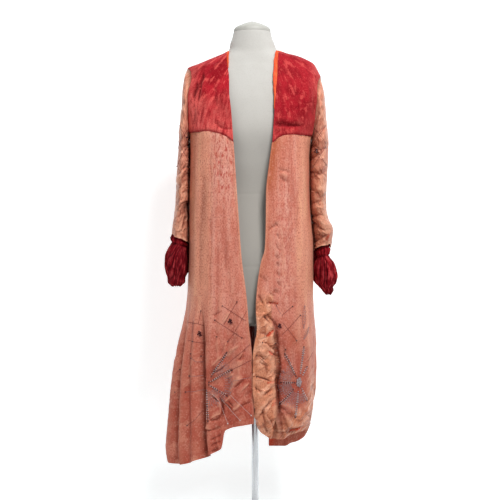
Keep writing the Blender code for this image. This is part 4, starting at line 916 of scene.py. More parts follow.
def body_size(height, on_right, in_front):
    """Half width, half depth and squareness of the coat's ring, on the side and the face asked for."""
    half = np.where(on_right, along(BODY_SECTIONS, "right", height), along(BODY_SECTIONS, "left", height))
    depth = np.where(in_front, along(BODY_SECTIONS, "front", height), along(BODY_SECTIONS, "back", height))
    return half, depth, along(BODY_SECTIONS, "square", height)


def oval_radius(angle, half, depth, square):
    return (np.abs(np.sin(angle) / half) ** square + np.abs(np.cos(angle) / depth) ** square) ** (-1 / square)


def around(radius, angle, height):
    return np.stack([FORM_OFFSET_X + radius * np.sin(angle), -radius * np.cos(angle), height], axis=-1)


def coat_point(angle, height, side):
    """A point of the coat's outer face, by angle from the front (towards the wearer's left) and height."""
    angle, height = np.broadcast_arrays(np.asarray(angle, float), np.asarray(height, float))
    plain = oval_radius(angle, *body_size(height, np.sin(angle) < 0, np.cos(angle) > 0))
    return around(plain - hem_roll(angle, height, side) + fold_height(angle, height, side), angle, height)


def coat_normal(angle, height, side):
    across = coat_point(angle + NORMAL_STEP, height, side) - coat_point(angle - NORMAL_STEP, height, side)
    upward = coat_point(angle, height + NORMAL_STEP, side) - coat_point(angle, height - NORMAL_STEP, side)
    return unit(np.cross(across, upward))


def front_edge(side, height):
    """Angle of a front's free edge at a height."""
    across = along(FRONT_EDGES, "right" if side < 0 else "left", height)
    half, depth, square = body_size(height, across < 0, True)
    share = np.clip(1 - np.abs(across / half) ** square, 0.0, 1.0) ** (1 / square)
    return np.arctan2(across, depth * share)


def edge_distance(angle, height, side):
    """Length of cloth from the free edge of the front on this side."""
    edge = by_side(side, front_edge(RIGHT, height), front_edge(LEFT, height))
    return np.abs(wrapped(angle - edge)) * EDGE_REACH


def yoke_edge(angle):
    return by_angle(YOKE_EDGES, "height", wrapped(angle))


def flare_seam(side, behind, height):
    field = ("right" if side < 0 else "left") + ("_back" if behind else "_front")
    return np.radians(along(FLARE_SEAMS, field, height))


def armhole_level(side, turn):
    hole = ARMHOLES[side]
    return (hole.top + hole.foot) / 2 + (hole.top - hole.foot) / 2 * np.cos(turn)


def armhole_depth(side, turn, inset=0.0):
    share = (1 - np.abs(np.cos(turn)) ** ARMHOLE_POWER) ** (1 / ARMHOLE_POWER)
    return (ARMHOLES[side].half_depth - inset) * share


def side_x(side, depth, height):
    """Distance across of the coat's side at a depth in front of or behind its middle."""
    half, reach, square = body_size(height, side < 0, depth < 0)
    return side * half * (1 - (np.abs(depth) / reach) ** square) ** (1 / square)


def armhole_angle(side, turn, behind):
    depth = armhole_depth(side, turn) * (1 if behind else -1)
    return np.arctan2(side_x(side, depth, armhole_level(side, turn)), -depth)


def mesh_object(name, points, faces, materials):
    """A smooth mesh object in its place, from points, arrays of faces and materials."""
    mesh = bpy.data.meshes.new(name)
    mesh.vertices.add(len(points))
    mesh.vertices.foreach_set("co", np.asarray(points, np.float32).reshape(-1))
    loops = np.concatenate([group.reshape(-1) for group in faces])
    starts = np.concatenate([[0]] + [np.full(len(group), group.shape[1]) for group in faces]).cumsum()[:-1]
    mesh.loops.add(len(loops))
    mesh.loops.foreach_set("vertex_index", loops.astype(np.int32))
    mesh.polygons.add(len(starts))
    mesh.polygons.foreach_set("loop_start", starts.astype(np.int32))
    mesh.update(calc_edges=True)
    mesh.validate()
    mesh.shade_smooth()
    mesh.set_sharp_from_angle(angle=SHARP_ANGLE)
    for material in materials:
        mesh.materials.append(material)
    made = bpy.data.objects.new(name, mesh)
    bpy.context.scene.collection.objects.link(made)
    return made


def shell(name, outer, inner, finish, flat_map, zones=None, ring=False, present=None):
    """A closed thin wall between two grids of points, with a cloth and its lining. A closed ring joins the
    last column to the first, and a mask leaves cells out. The flat map is in metres of cloth, and zones are
    point attributes."""
    rows, columns = outer.shape[:2]
    count = rows * columns
    spans = columns if ring else columns - 1
    mask = np.ones((rows - 1, spans), bool) if present is None else present
    index = np.arange(count).reshape(rows, columns)
    if ring:
        index = np.concatenate([index, index[:, :1]], axis=1)
    order = ((0, 0), (0, 1), (1, 1), (1, 0))
    corners = np.stack([index[row:rows - 1 + row, step:spans + step] for row, step in order], axis=-1)
    places = np.stack([flat_map[row:rows - 1 + row, step:spans + step] for row, step in order], axis=2)
    padded = np.pad(mask, 1)
    if ring:
        padded[1:-1, 0], padded[1:-1, -1] = mask[:, -1], mask[:, 0]
    faces = [corners[mask], corners[mask][:, ::-1] + count]
    maps = [places[mask], places[mask][:, ::-1]]
    for edge, (row, step) in enumerate(((-1, 0), (0, 1), (1, 0), (0, -1))):
        free = mask & ~padded[1 + row:rows + row, 1 + step:spans + 1 + step]
        start, end = corners[free][:, edge], corners[free][:, (edge + 1) % 4]
        faces.append(np.stack([end, start, start + count, end + count], axis=-1))
        first, second = places[free][:, edge], places[free][:, (edge + 1) % 4]
        maps.append(np.stack([second, first, first, second], axis=1))
    outside = len(faces[0])
    faces, maps = np.concatenate(faces), np.concatenate(maps)
    points = np.concatenate([outer.reshape(-1, 3), inner.reshape(-1, 3)])
    quad = points[faces[:outside]]
    facing = np.cross(quad[:, 2] - quad[:, 0], quad[:, 3] - quad[:, 1])
    outward = points[faces[:outside, 0]] - points[faces[:outside, 0] + count]
    if np.sum(facing * outward) < 0:
        faces, maps = faces[:, ::-1], maps[:, ::-1]
    used, faces = np.unique(faces, return_inverse=True)
    made = mesh_object(name, points[used], [faces.reshape(-1, 4)], finish)
    slots = np.zeros(len(maps), np.int32)
    slots[outside:2 * outside] = 1
    made.data.polygons.foreach_set("material_index", slots)
    made.data.uv_layers.new(name="cloth").data.foreach_set("uv", maps.reshape(-1))
    for zone, values in (zones or {}).items():
        both = np.concatenate([values.reshape(-1), values.reshape(-1)])[used]
        made.data.attributes.new(zone, "FLOAT", "POINT").data.foreach_set("value", both.astype(np.float32))
    return made


def satin_zone(points, side):
    """Where the left front's satin facing is turned to the outside: beside its edge, below the hip."""
    x, z = points[..., 0], points[..., 2]
    line = np.interp(z, column(GROOVE, "height")[::-1], column(GROOVE, "across")[::-1])
    ragged = uneven(soft_noise, SATIN_BORDER, x, z)
    inside = rise(x - line - ragged, SATIN_SIDE) * rise(z - 3 * ragged, SATIN_TOP)
    return np.where((side > 0) & (points[..., 1] < 0), inside, 0.0)


def body_relief(angle, height, side, points):
    """Height of the coat's fine relief over its plain surface below the yoke."""
    place = (angle * BODY_REACH, height)
    satin = satin_zone(points, side)
    creases = front_creases(points, FRONT_CREASES, side, CREASE_DEPTH["front"]) * (1 + 0.30 * satin)
    piping = pressed(edge_distance(angle, height, side), *EDGE_PIPING) * rise(points[..., 1], FRONT_RELIEF)
    hang = uneven(rumple, HANG, *place) + uneven(rumple, FINE_HANG, *place)
    low = rise(height, LOW_WRINKLES)
    wrinkles = (0.4 + low) * crushed(WRINKLES, *place) + low * crushed(FINE_WRINKLES, *place)
    below_yoke = yoke_edge(angle) - height
    above_hem = height - hem_height(angle, side)
    gathers = uneven(soft_noise, YOKE_GATHERS, *place) * spot(below_yoke, GATHERED_BELOW_YOKE)
    puckers = uneven(soft_noise, HEM_PUCKERS, *place) * spot(above_hem, PUCKERED_HEM)
    seams = pressed(above_hem, HEM_STITCHES) + pressed(below_yoke, YOKE_SEAM)
    return (creases + piping + hang + wrinkles + gathers + puckers + seams
            + satin * crushed(CRUSHED_SATIN, *place, SATIN_MIDDLE))


def coat_zones(angle, height, side, points):
    """Zones of the coat's body: worn tan pile, rubbed red streaks, amber edge, browner and darker towards the
    hem, satin, crinkle with painted facet light and shade, painted shade along the left front's groove, and
    slits.
    """
    x, y, z = (points[..., axis] for axis in range(3))
    front = rise(y, FRONT_WEAR)
    drift = uneven(rumple, WEAR_DRIFT, x, z)
    edge = edge_distance(angle, height, side)
    tan = by_side(side, rise(x - drift, TAN_ACROSS[RIGHT]), rise(x + drift, TAN_ACROSS[LEFT]))
    tan = np.maximum(tan * front * (0.3 + 0.7 * rise(z, TAN_UP)), 0.65 * spot(edge, TAN_EDGE) * front)
    tan = np.maximum(tan, (1 - front) * (0.35 + uneven(rumple, BACK_WEAR, angle, z)))
    right, left = (spot(x, STREAK_SPOT[hand]) * rise(z, STREAK_UP[hand]) for hand in (RIGHT, LEFT))
    streak = by_side(side, right, 0.55 * left * rise(z, STREAK_TOP))
    stained = spot(edge, AMBER_EDGE) * (0.40 + 0.60 * rise(z, STAIN_UPPER)) * rise(z, STAIN_FOOT)
    amber = by_side(side, 0.0, stained + 0.6 * spot(x, AMBER_ACROSS) * spot(z, AMBER_UP))
    turned_up = rise(z - hem_height(angle, side) - drift, TURNED_UP) * rise(x, TURNED_ACROSS) * front
    beside = rise(x + drift, SIDE_SATIN) * rise(z, SIDE_SATIN_TOP) * rise(y, SIDE_SATIN_DEPTH)
    satin = np.maximum(satin_zone(points, side), by_side(side, 0.0, 0.9 * np.maximum(turned_up, beside)))
    # Painted shade along the left front's deep groove, strongest low down
    groove_path = [(row.across / MM, row.height / MM) for row in GROOVE]
    groove = spot(path_distance(x / MM, z / MM, groove_path)[0], GROOVE_LINE) * rise(z, GROOVE_TOP)
    return {
        "tan": np.clip(tan, 0.0, 1.0),
        "streak": np.clip(0.06 + streak * front, 0.0, 1.0),
        "amber": np.clip(amber * front, 0.0, 1.0),
        "brown": rise(z, BROWN_DOWN),
        "satin": satin,
        # Crinkle sets the satin's bump, and also its painted facet highlights and shade
        "crinkle": np.clip(satin + 0.06 + 0.22 * rise(z, CRINKLE_DOWN), 0.0, 1.0),
        "groove": by_side(side, 0.0, groove * (0.60 + 0.40 * spot(z, GROOVE_DEEPEST))) * front,
        "slit": slit_zone(points) * front,
    }


def body_panel(name, angles, heights, side, finish, present=None, reach=BODY_REACH):
    """A panel of the coat's body as a shell, with its relief and its zones of wear. Its troughs carry painted
    shade, and its ridges a painted highlight. The reach is the length of cloth for each radian round the
    body."""
    angles, heights = np.array(angles), np.array(heights)
    plain = coat_point(angles, heights, side)
    normal = coat_normal(angles, heights, side)
    relief = body_relief(angles, heights, side, plain)
    folded = fold_height(angles, heights, side)
    zones = coat_zones(angles, heights, side, plain)
    # Painted shade in the troughs of the creases and folds, and a painted highlight on their ridges
    zones["trough"] = np.maximum(shade(-relief, TROUGH), shade(-folded, FOLD_TROUGH))
    zones["ridge"] = np.maximum(shade(relief, RIDGE), shade(folded, FOLD_RIDGE))
    outer = plain + relief[..., None] * normal
    flat_map = np.stack([angles * reach, heights], axis=-1)
    return shell(name, outer, outer - SILK_WALL * normal, finish, flat_map, zones, present=present)


def body_rows(down):
    """Rows down the body: which end values each lies between, and the share of the way."""
    upper = [(0, share) for share in np.linspace(0.0, 1.0, down[0] + 1)]
    return upper + [(1, share) for share in np.linspace(0.0, 1.0, down[1] + 1)[1:]]


def row_height(part, share, angle, side):
    """Height on a row: between the yoke's seam and the flare's top, or between there and the hem."""
    if part == 0:
        return between(yoke_edge(angle) - SEAM_GAP, FLARE_TOP, share)
    return between(FLARE_TOP, hem_height(angle, side), share)


def coat_front(name, side, finish):
    across, beside = FRONT_ACROSS[side], SIDE_ACROSS[side]
    offset = side * SEAM_TURN
    spacing = np.linspace(0.0, 1.0, across + 1) ** EDGE_DENSITY[side]
    angles, heights = [], []
    for part, share in body_rows(FRONT_DOWN):
        level = float(row_height(part, share, np.array(FRONT_CORNER * side), side))
        seam = float(flare_seam(side, False, level)) - (offset if part else 0.0)
        line = np.concatenate([between(float(front_edge(side, level)), seam, spacing),
                               np.linspace(seam, side * math.pi / 2 - offset, beside + 1)[1:]])
        angles.append(line)
        heights.append(row_height(part, share, line, side))
    present = np.ones((sum(FRONT_DOWN), across + beside), bool)
    present[FRONT_DOWN[0]:, across:] = False
    return body_panel(name, angles, heights, side, finish, present)


def coat_back(name, finish):
    angles, heights, sides = [], [], []
    for part, share in body_rows(BACK_DOWN):
        level = between(BACK_LEVELS[part], BACK_LEVELS[part + 1], share)
        offset = SEAM_TURN if part else 0.0
        left = float(flare_seam(LEFT, True, level)) + offset
        right = float(flare_seam(RIGHT, True, level)) % (2 * math.pi) - offset
        line = np.concatenate([np.linspace(math.pi / 2 + SEAM_TURN, left, BACK_SIDE_ACROSS + 1)[:-1],
                               np.linspace(left, right, BACK_ACROSS + 1),
                               np.linspace(right, 1.5 * math.pi - SEAM_TURN, BACK_SIDE_ACROSS + 1)[1:]])
        side = np.where(line <= math.pi, LEFT, RIGHT)
        angles.append(line)
        heights.append(row_height(part, share, line, side))
        sides.append(side)
    present = np.ones((sum(BACK_DOWN), BACK_ACROSS + 2 * BACK_SIDE_ACROSS), bool)
    present[BACK_DOWN[0]:, :BACK_SIDE_ACROSS] = False
    present[BACK_DOWN[0]:, BACK_SIDE_ACROSS + BACK_ACROSS:] = False
    return body_panel(name, angles, heights, np.array(sides), finish, present)


def side_flare(name, side, finish):
    angles, heights = [], []
    for share in np.linspace(0.0, 1.0, FLARE_DOWN + 1):
        level = between(FLARE_TOP, FLARE_FOOT, share)
        ends = sorted(float(flare_seam(side, behind, level)) for behind in (False, True))
        line = np.linspace(ends[0] + SEAM_TURN, ends[1] - SEAM_TURN, FLARE_ACROSS[side] + 1)
        angles.append(line)
        heights.append(row_height(1, share, line, side) - SEAM_GAP * (1 - share))
    return body_panel(name, angles, heights, side, finish, reach=FLARE_REACH)


def yoke_relief(angle, height, side, points):
    """Height of the velvet's relief: it lies a little over the silk, and is crushed where it was folded."""
    place = (angle * BODY_REACH, height)
    above_edge = height - yoke_edge(angle)
    fine = (front_creases(points, YOKE_CREASES, side, CREASE_DEPTH["yoke"])
            + uneven(rumple, VELVET_CRUSH, *place) + uneven(rumple, VELVET_SWELL, *place)
            + pressed(above_edge, YOKE_STITCHES)
            + uneven(soft_noise, YOKE_WAVES, *place) * spot(above_edge, YOKE_WAVED))
    lifted = 0.0024 * rise(above_edge, YOKE_LIFT_FOOT) * rise(above_edge, YOKE_LIFT_TOP) + 0.0004
    return fine * (0.12 + 0.88 * rise(height, YOKE_SEATED)) + lifted


def yoke_panel(name, angles, heights, sides, finish):
    """A panel of the yoke as a shell, rubbed below and on the shoulders, with painted shade along its seam
    and in its troughs.
    """
    angles, heights = np.array(angles), np.array(heights)
    plain = coat_point(angles, heights, sides)
    normal = coat_normal(angles, heights, sides)
    relief = yoke_relief(angles, heights, sides, plain)
    outer = plain + relief[..., None] * normal
    x, z = plain[..., 0], plain[..., 2]
    rubbed = by_side(sides, rise(z, YOKE_RUB[RIGHT]), 0.45 * rise(z, YOKE_RUB[LEFT]))
    rubbed = rubbed * (0.75 + uneven(rumple, VELVET_RUB, x, z)) + 0.45 * spot(np.abs(x), SHOULDER_RUB)
    # Painted shade along the yoke's lower seam and in the troughs of its relief
    seam = 0.75 * spot(heights - yoke_edge(angles), YOKE_SHADE)
    zones = {
        "rubbed": np.clip(rubbed, 0.0, 1.0),
        "trough": np.maximum(shade(-relief, YOKE_TROUGH), seam),
        "deep": by_side(sides, 0.75 * spot(x, DEEP_ACROSS) * spot(z, DEEP_UP), 0.55),
    }
    flat_map = np.stack([angles * BODY_REACH, heights], axis=-1)
    return shell(name, outer, outer - VELVET_WALL * normal, finish, flat_map, zones)


def yoke_rows():
    """Rows up the yoke: turns round the armhole from its corner to its top, then shares of the shoulder."""
    return (np.linspace(ARMHOLE_CORNER * math.pi, 0.0, YOKE_DOWN[0] + 1),
            np.linspace(0.0, 1.0, YOKE_DOWN[1] + 1)[1:])


def yoke_front(name, side, finish):
    blend = np.linspace(0.0, 1.0, YOKE_ACROSS + 1)
    armhole_turns, shares = yoke_rows()
    top = ARMHOLES[side].top
    corner_level = float(armhole_level(side, armhole_turns[0]))
    angles, heights = [], []
    for turn in armhole_turns:
        level = float(armhole_level(side, turn))
        way = (level - corner_level) / (top - corner_level)
        start = float(front_edge(side, between(YOKE_FOOT, top, way)))
        line = between(start, float(armhole_angle(side, turn, behind=False)), blend)
        angles.append(line)
        heights.append(between(between(yoke_edge(line), top, way), level, blend**4))
    for share in shares:
        level = between(top, NECK_HEIGHT, share)
        start = float(front_edge(side, level))
        angles.append(between(start, side * math.pi / 2 - side * SHOULDER_TURN, blend))
        heights.append(np.full_like(blend, level))
    return yoke_panel(name, angles, heights, side, finish)


def yoke_back(name, finish):
    blend = np.linspace(0.0, 1.0, YOKE_BACK_ACROSS + 1)
    armhole_turns, shares = yoke_rows()
    tops = ARMHOLES[LEFT].top * (1 - blend) + ARMHOLES[RIGHT].top * blend
    levels = [armhole_level(LEFT, turn) * (1 - blend) + armhole_level(RIGHT, turn) * blend
              for turn in armhole_turns]
    angles, heights = [], []
    for turn, level in zip(armhole_turns, levels):
        left = float(armhole_angle(LEFT, turn, behind=True))
        right = float(armhole_angle(RIGHT, turn, behind=True)) % (2 * math.pi)
        line = between(left, right, blend)
        height = between(yoke_edge(line), tops, (level - levels[0]) / (tops - levels[0]))
        angles.append(line)
        heights.append(between(height, level, np.abs(2 * blend - 1) ** 6))
    for share in shares:
        angles.append(math.pi / 2 + SHOULDER_TURN + (math.pi - 2 * SHOULDER_TURN) * blend)
        raised = BACK_NECK_RISE * np.sin(math.pi * blend) * smooth(share * 2 - 1)
        heights.append(between(tops, NECK_HEIGHT, share) + raised)
    sides = np.where(np.array(angles) <= math.pi, LEFT, RIGHT)
    return yoke_panel(name, angles, heights, sides, finish)


def neck_binding(name, finish):
    """A rounded strip along the neck's edge: up the right front, round the back and down the left front."""
    right_levels = np.linspace(RIGHT_BINDING[0].height, RIGHT_BINDING[-1].height, 18)
    left_levels = np.linspace(LEFT_BINDING[-1].height, LEFT_BINDING[0].height, 60)
    round_back = np.linspace(float(front_edge(RIGHT, NECK_HEIGHT)) + 2 * math.pi,
                             float(front_edge(LEFT, NECK_HEIGHT)), 72)
    raised = BACK_NECK_RISE * np.sin(np.clip(round_back - math.pi / 2, 0.0, math.pi))
    angles = np.concatenate([front_edge(RIGHT, right_levels), round_back, front_edge(LEFT, left_levels)])
    heights = np.concatenate([right_levels, NECK_HEIGHT + raised, left_levels])
    widths = np.concatenate([along(RIGHT_BINDING, "width", right_levels),
                             np.full_like(round_back, BACK_BINDING_WIDTH),
                             along(LEFT_BINDING, "width", left_levels)])
    sides = np.where((angles < 0) | (angles > math.pi), RIGHT, LEFT)
    edge = coat_point(angles, heights, sides)
    normal = coat_normal(angles, heights, sides)
    inward = unit(np.cross(np.gradient(edge, axis=0), normal))
    length = np.concatenate([[0.0], np.cumsum(np.linalg.norm(np.diff(edge, axis=0), axis=-1))])
    shares = np.linspace(0.0, 1.0, 7)
    pulled = 1 + uneven(soft_noise, BINDING_PULL, length, 0 * length)
    across = BINDING_GAP + widths[:, None] * pulled[:, None] * shares
    fullness = 1 + uneven(soft_noise, BINDING_CROWN, length[:, None], shares)
    crown = 0.0009 * np.sin(math.pi * shares) * fullness
    laid = edge[:, None] + across[..., None] * inward[:, None]
    outer = laid + crown[..., None] * normal[:, None]
    flat_map = np.stack([across, np.broadcast_to(length[:, None], across.shape)], axis=-1)
    return shell(name, outer, laid - BINDING_WALL * normal[:, None], finish, flat_map)


def hem_band(name, finish):
    """The strip of the hem's turning that hangs just inside the left front's rolled hem."""
    angles = np.radians(np.linspace(HEM_BAND[0].angle, HEM_BAND[-1].angle, 61))
    foot, radius = (by_angle(HEM_BAND, field, angles) for field in ("foot", "radius"))
    shares = np.linspace(0.0, 1.0, 19)[:, None]
    height = between(foot, hem_height(angles, LEFT) + BAND_TURNING, shares)
    rippled = radius + uneven(rumple, BAND_RIPPLE, angles * radius, shares) * (1 - shares) - 0.0004
    outer, inner = (around(rippled - inset, np.broadcast_to(angles, height.shape), height)
                    for inset in (0.0, SILK_WALL))
    red = rise(outer[..., 0], BAND_RED)
    even = np.ones_like(red)
    # The crinkle zone bumps the satin and carries its painted facet highlights and shade
    zones = {"tan": 0.3 * even, "brown": even, "crinkle": 0.35 * even, "slit": 0.7 * red}
    flat_map = np.stack([np.broadcast_to(angles * radius, height.shape), height], axis=-1)
    return shell(name, outer, inner, finish, flat_map, zones)


def tube_normals(rings):
    """Outward directions at the points of a tube of closed rings."""
    across = np.roll(rings, -1, axis=1) - np.roll(rings, 1, axis=1)
    normals = unit(np.cross(across, np.gradient(rings, axis=0)))
    outward = rings - rings.mean(axis=1, keepdims=True)
    return normals * np.sign(np.sum(normals * outward))


def tube_map(reach, count, down):
    """Flat map of a tube: metres of cloth round it, and metres along it."""
    span = np.linspace(0.0, 2 * math.pi * reach, count + 1)
    return np.stack(np.broadcast_arrays(span, down), axis=-1)


def hug_coat(rings, side, middle):
    """Draws the inner back quarter of a sleeve's or a cuff's rings in against the coat, so that no light
    shows between them from the front."""
    x, depth, height = rings[..., 0], rings[..., 1], rings[..., 2]
    limit = FORM_OFFSET_X + side_x(side, depth, height) + side * HUG_GAP
    weight = rise(depth, HUG_DEPTH) * rise(side * x - middle, HUG_ACROSS) * rise(height, HUG_TOP)
    inward = np.minimum(side * (limit - x), 0.0) * side
    moved = rings.copy()
    moved[..., 0] = x + inward * weight
    return moved


def sleeve_rings(side):
    """Fine rings of a sleeve, through the armhole and the sections below it."""
    turn = turns(SLEEVE_RING)
    hole = ARMHOLES[side]
    middle = (hole.top + hole.foot) / 2
    shrink = 1 - ARMHOLE_GAP / ((hole.top - hole.foot) / 2)
    depth = armhole_depth(side, turn, ARMHOLE_GAP) * np.where(turn > math.pi, 1, -1)
    height = between(middle, armhole_level(side, turn), shrink)
    rings = [np.stack([FORM_OFFSET_X + side_x(side, depth, height), depth, height], axis=-1)]
    for section in SLEEVES[side]:
        outward = (1 + np.cos(turn)) / 2
        across = between(section.inner, section.outer, outward)
        across = across + SLEEVE_FULLNESS[side] * np.minimum(np.cos(turn), 0.0)
        level = between(section.inner_height, section.outer_height, outward)
        deep = section.middle - section.half_depth * np.sin(turn)
        rings.append(np.stack([FORM_OFFSET_X + side * across, deep, level], axis=-1))
    rings = np.array(rings)
    steps = np.linalg.norm(np.diff(rings, axis=0), axis=-1).mean(axis=1)
    knots = np.concatenate([[0.0], np.cumsum(steps)])
    at = np.linspace(0.0, knots[-1], SLEEVE_DOWN + 1)
    flat = rings.reshape(len(rings), -1)
    fine = np.stack([through(knots, flat[:, place], at) for place in range(flat.shape[1])], axis=-1)
    fine = fine.reshape(len(at), SLEEVE_RING, 3)
    to_end = at[-1] - at[:, None]
    slant = END_SLANT[side] * (1 - np.cos(turn)) / 2
    ragged = (END_LIFT[side] * np.maximum(np.sin(turn), 0.0)
              + 0.0035 * soft_noise(3 + 3 * np.cos(turn), 3 * np.sin(turn), 98))
    fine[..., 2] += ragged * rise(to_end, RAGGED_ALONG) - slant * rise(to_end, SLANT_ALONG)
    return hug_coat(fine, side, side * fine[..., 0].mean(axis=1, keepdims=True)), at[:, None], turn


def sleeve(name, side, finish):
    """A narrow sleeve, crushed and creased, with its end puckered where the cuff is sewn in."""
    rings, down, turn = sleeve_rings(side)
    normal = tube_normals(rings)
    front = normal[..., 1] < 0
    shifted = rings + np.array([0.0, 0.0, 0.017])
    creases = np.where(front, *(crease_height(points, SLEEVE_CREASES[side], CREASE_DEPTH["sleeve"])
                                for points in (rings, shifted)))
    to_end = down[-1] - down
    pinched = 0.0030 * soft_noise(5 + 5 * np.cos(turn), 5 * np.sin(turn) + down / 0.06, 99)
    free = rise(down, SLEEVE_SEAM) * (0.4 + 0.6 * rise(to_end, SLEEVE_EASE))
    relief = ((creases + crushed(SLEEVE_CRUSH, np.sin(turn), down)) * free
              + pressed(to_end, SLEEVE_END_ROLL) + pinched * spot(to_end, SLEEVE_PINCH))
    outer = rings + relief[..., None] * normal
    patch = 0.5 + uneven(rumple, SLEEVE_PATCH, turn * SLEEVE_REACH, down)
    upper = rise(rings[..., 2], SLEEVE_UPPER)
    zones = {
        "tan": np.clip(0.05 + 0.35 * patch, 0.0, 1.0),
        "faded": np.clip(0.35 + 0.5 * patch, 0.0, 1.0) * (1 - 0.5 * upper),
        # Crinkle bumps the satin and carries its painted facet highlights and shade
        "crinkle": np.clip(0.78 + 0.3 * patch, 0.0, 1.0) * rise(down, SLEEVE_EASE),
        # Painted shade in a narrow band along the armhole seam
        "groove": 0.9 * spot(down, SLEEVE_END_SHADE_AND_HIGHLIGHT) * np.ones_like(relief),
        "streak": np.clip(0.55 * upper - 0.3 * patch, 0.0, 1.0),
        "satin": np.clip(0.12 + 0.25 * patch, 0.0, 1.0),
        "slit": slit_zone(rings) * front,
        # Painted shade in the troughs; a painted highlight on the ridges and along the rolled end
        "trough": shade(-relief, TROUGH),
        "ridge": np.maximum(shade(relief, RIDGE), spot(to_end, SLEEVE_END_SHADE_AND_HIGHLIGHT)),
    }
    flat_map = tube_map(SLEEVE_REACH, SLEEVE_RING, -down)
    return shell(name, outer, outer - SLEEVE_WALL * normal, finish, flat_map, zones, ring=True)


def cuff(name, side, finish):
    """A gathered velvet cuff: rounded ridges with tight valleys between, and a frilled heading at its top."""
    gathering, sections = GATHERING[side], CUFFS[side]
    turn = turns(CUFF_RING)
    foot, top = sections[0].height, sections[-1].height
    height = np.linspace(foot, top, CUFF_DOWN + 1)[:, None]
    half_width, half_depth, middle, wave = (along(sections, field, height)
                                            for field in ("half_width", "half_depth", "middle", "wave"))
    drift = 0.9 * np.sin(3 * turn + 1.0) + 0.7 * np.sin(5 * turn + 2.2) + 0.5 * np.sin(8 * turn)
    beside, before = 2.4 * np.cos(turn), 2.4 * np.sin(turn)
    phase = (gathering.count * (turn + gathering.slant * (height - foot)) / 2 + drift
             + 0.7 * soft_noise(beside + 9, before + height / 0.03, 101))
    size = 0.75 + 0.35 * soft_noise(1.4 * beside, 1.4 * before + height / 0.05, 102)
    above_tie = height - top + gathering.frill
    in_frill = rise(above_tie, FRILL_FOOT)
    puff = np.abs(np.sin(gathering.puffs * turn / 2 + 0.6 * drift + 0.6 * (height - top) / gathering.frill))
    mixed = np.abs(np.sin(phase)) ** 0.8 * (1 - in_frill) + puff * in_frill
    opened = smooth(above_tie / gathering.frill)
    tucked = rise(height - top, CUFF_TUCK)
    swell = (gathering.height * wave * size * (mixed * 2.0 - 1.2) * (1 - in_frill)
             + 0.0042 * (puff - 0.62) * in_frill + 0.0020 * in_frill * opened)
    swell = swell * (1 - tucked) - 0.0042 * tucked - 0.0026 * spot(above_tie, CUFF_TIE)
    taper = 1 - 0.32 * (1 - np.clip((height - foot) / 0.012, 0.0, 1.0)) ** 2
    lip = 0.0034 * soft_noise(2.6 * beside, 2.6 * before, 103)
    ragged = lip * rise(height - foot, CUFF_LIP) + 0.005 * tucked
    slanted = END_SLANT[side] * rise(height - top, CUFF_SLANT) * (1 - np.cos(turn)) / 2

    def ring(inset):
        across = (half_width * taper + swell - inset) * np.cos(turn)
        deep = (half_depth * taper + swell - inset) * np.sin(turn)
        made = np.stack([FORM_OFFSET_X + side * (middle + across), CUFF_MIDDLE_Y + deep,
                         height + ragged - slanted], axis=-1)
        hugged = hug_coat(made, side, middle + side * FORM_OFFSET_X)
        return between(made, hugged, rise(height - foot, CUFF_HUG)[..., None])

    # Painted highlight on the ridges of the gathers, weaker on the right cuff
    zones = {"ridge": np.clip(mixed * size * CUFF_RIDGE_HIGHLIGHT[side], 0.0, 1.0),
             "frill": in_frill * np.ones_like(mixed)}
    flat_map = tube_map(CUFF_REACH, CUFF_RING, height)
    return shell(name, ring(0.0), ring(CUFF_WALL), finish, flat_map, zones, ring=True)


def capped(name, rings, material):
    """A closed body through a stack of rings that runs upwards, anticlockwise seen from above, with a fan of
    triangles at each end."""
    rings = np.array(rings)
    rows, columns = rings.shape[:2]
    index = np.arange(rows * columns).reshape(rows, columns)
    index = np.concatenate([index, index[:, :1]], axis=1)
    walls = np.stack([index[:-1, :-1], index[:-1, 1:], index[1:, 1:], index[1:, :-1]], axis=-1).reshape(-1, 4)
    foot, top = rows * columns, rows * columns + 1
    fans = [np.stack([index[0, 1:], index[0, :-1], np.full(columns, foot)], axis=-1),
            np.stack([index[-1, :-1], index[-1, 1:], np.full(columns, top)], axis=-1)]
    points = np.concatenate([rings.reshape(-1, 3), rings[[0, -1]].mean(axis=1)])
    return mesh_object(name, points, [walls] + fans, (material,))


def oval_ring(half_width, front, back, square, height, lean):
    turn = turns(FORM_RING)
    radius = oval_radius(turn, half_width, np.where(np.cos(turn) > 0, front, back), square)
    return around(radius, turn, np.full(FORM_RING, height)) + np.array([lean, 0.0, 0.0])


def dress_form(name, material):
    """The jersey-covered torso, with a rim at its foot and two faint tape lines."""
    levels = np.arange(FORM_SECTIONS[0].height, FORM_SECTIONS[-1].height, FORM_STEP)
    rings = []
    for level in np.append(levels, FORM_SECTIONS[-1].height):
        half_width, front, back, square = (float(along(FORM_SECTIONS, field, level))
                                           for field in ("half_width", "front", "back", "square"))
        size = pressed(level, *FORM_LINES) - FORM_UNDER_COAT * float(rise(level, FORM_COVERED))
        full = NECK_FULLNESS * spot(level, NECK_FULL)
        rings.append(oval_ring(half_width + size + full, front + size, back + size, square, level,
                               NECK_LEAN * rise(level, NECK_LEANS)))
    return capped(name, rings, material)


def neck_cap(name, material):
    neck = FORM_SECTIONS[-1]
    foot = neck.height + SEAM_GAP
    rings = []
    for share, height in CAP_PROFILE:
        sizes = [(size + CAP_RIM) * share for size in (neck.half_width, neck.front, neck.back)]
        rings.append(oval_ring(*sizes, neck.square, foot + height, NECK_LEAN))
    return capped(name, rings, material)


def turned(name, profile, material):
    """A body turned about the pole's axis from a profile of radius against height."""
    turn = turns(TURNED_RING)
    rings = [np.stack([radius * np.cos(turn), radius * np.sin(turn), np.full_like(turn, height)], axis=-1)
             for radius, height in profile]
    return capped(name, rings, material)


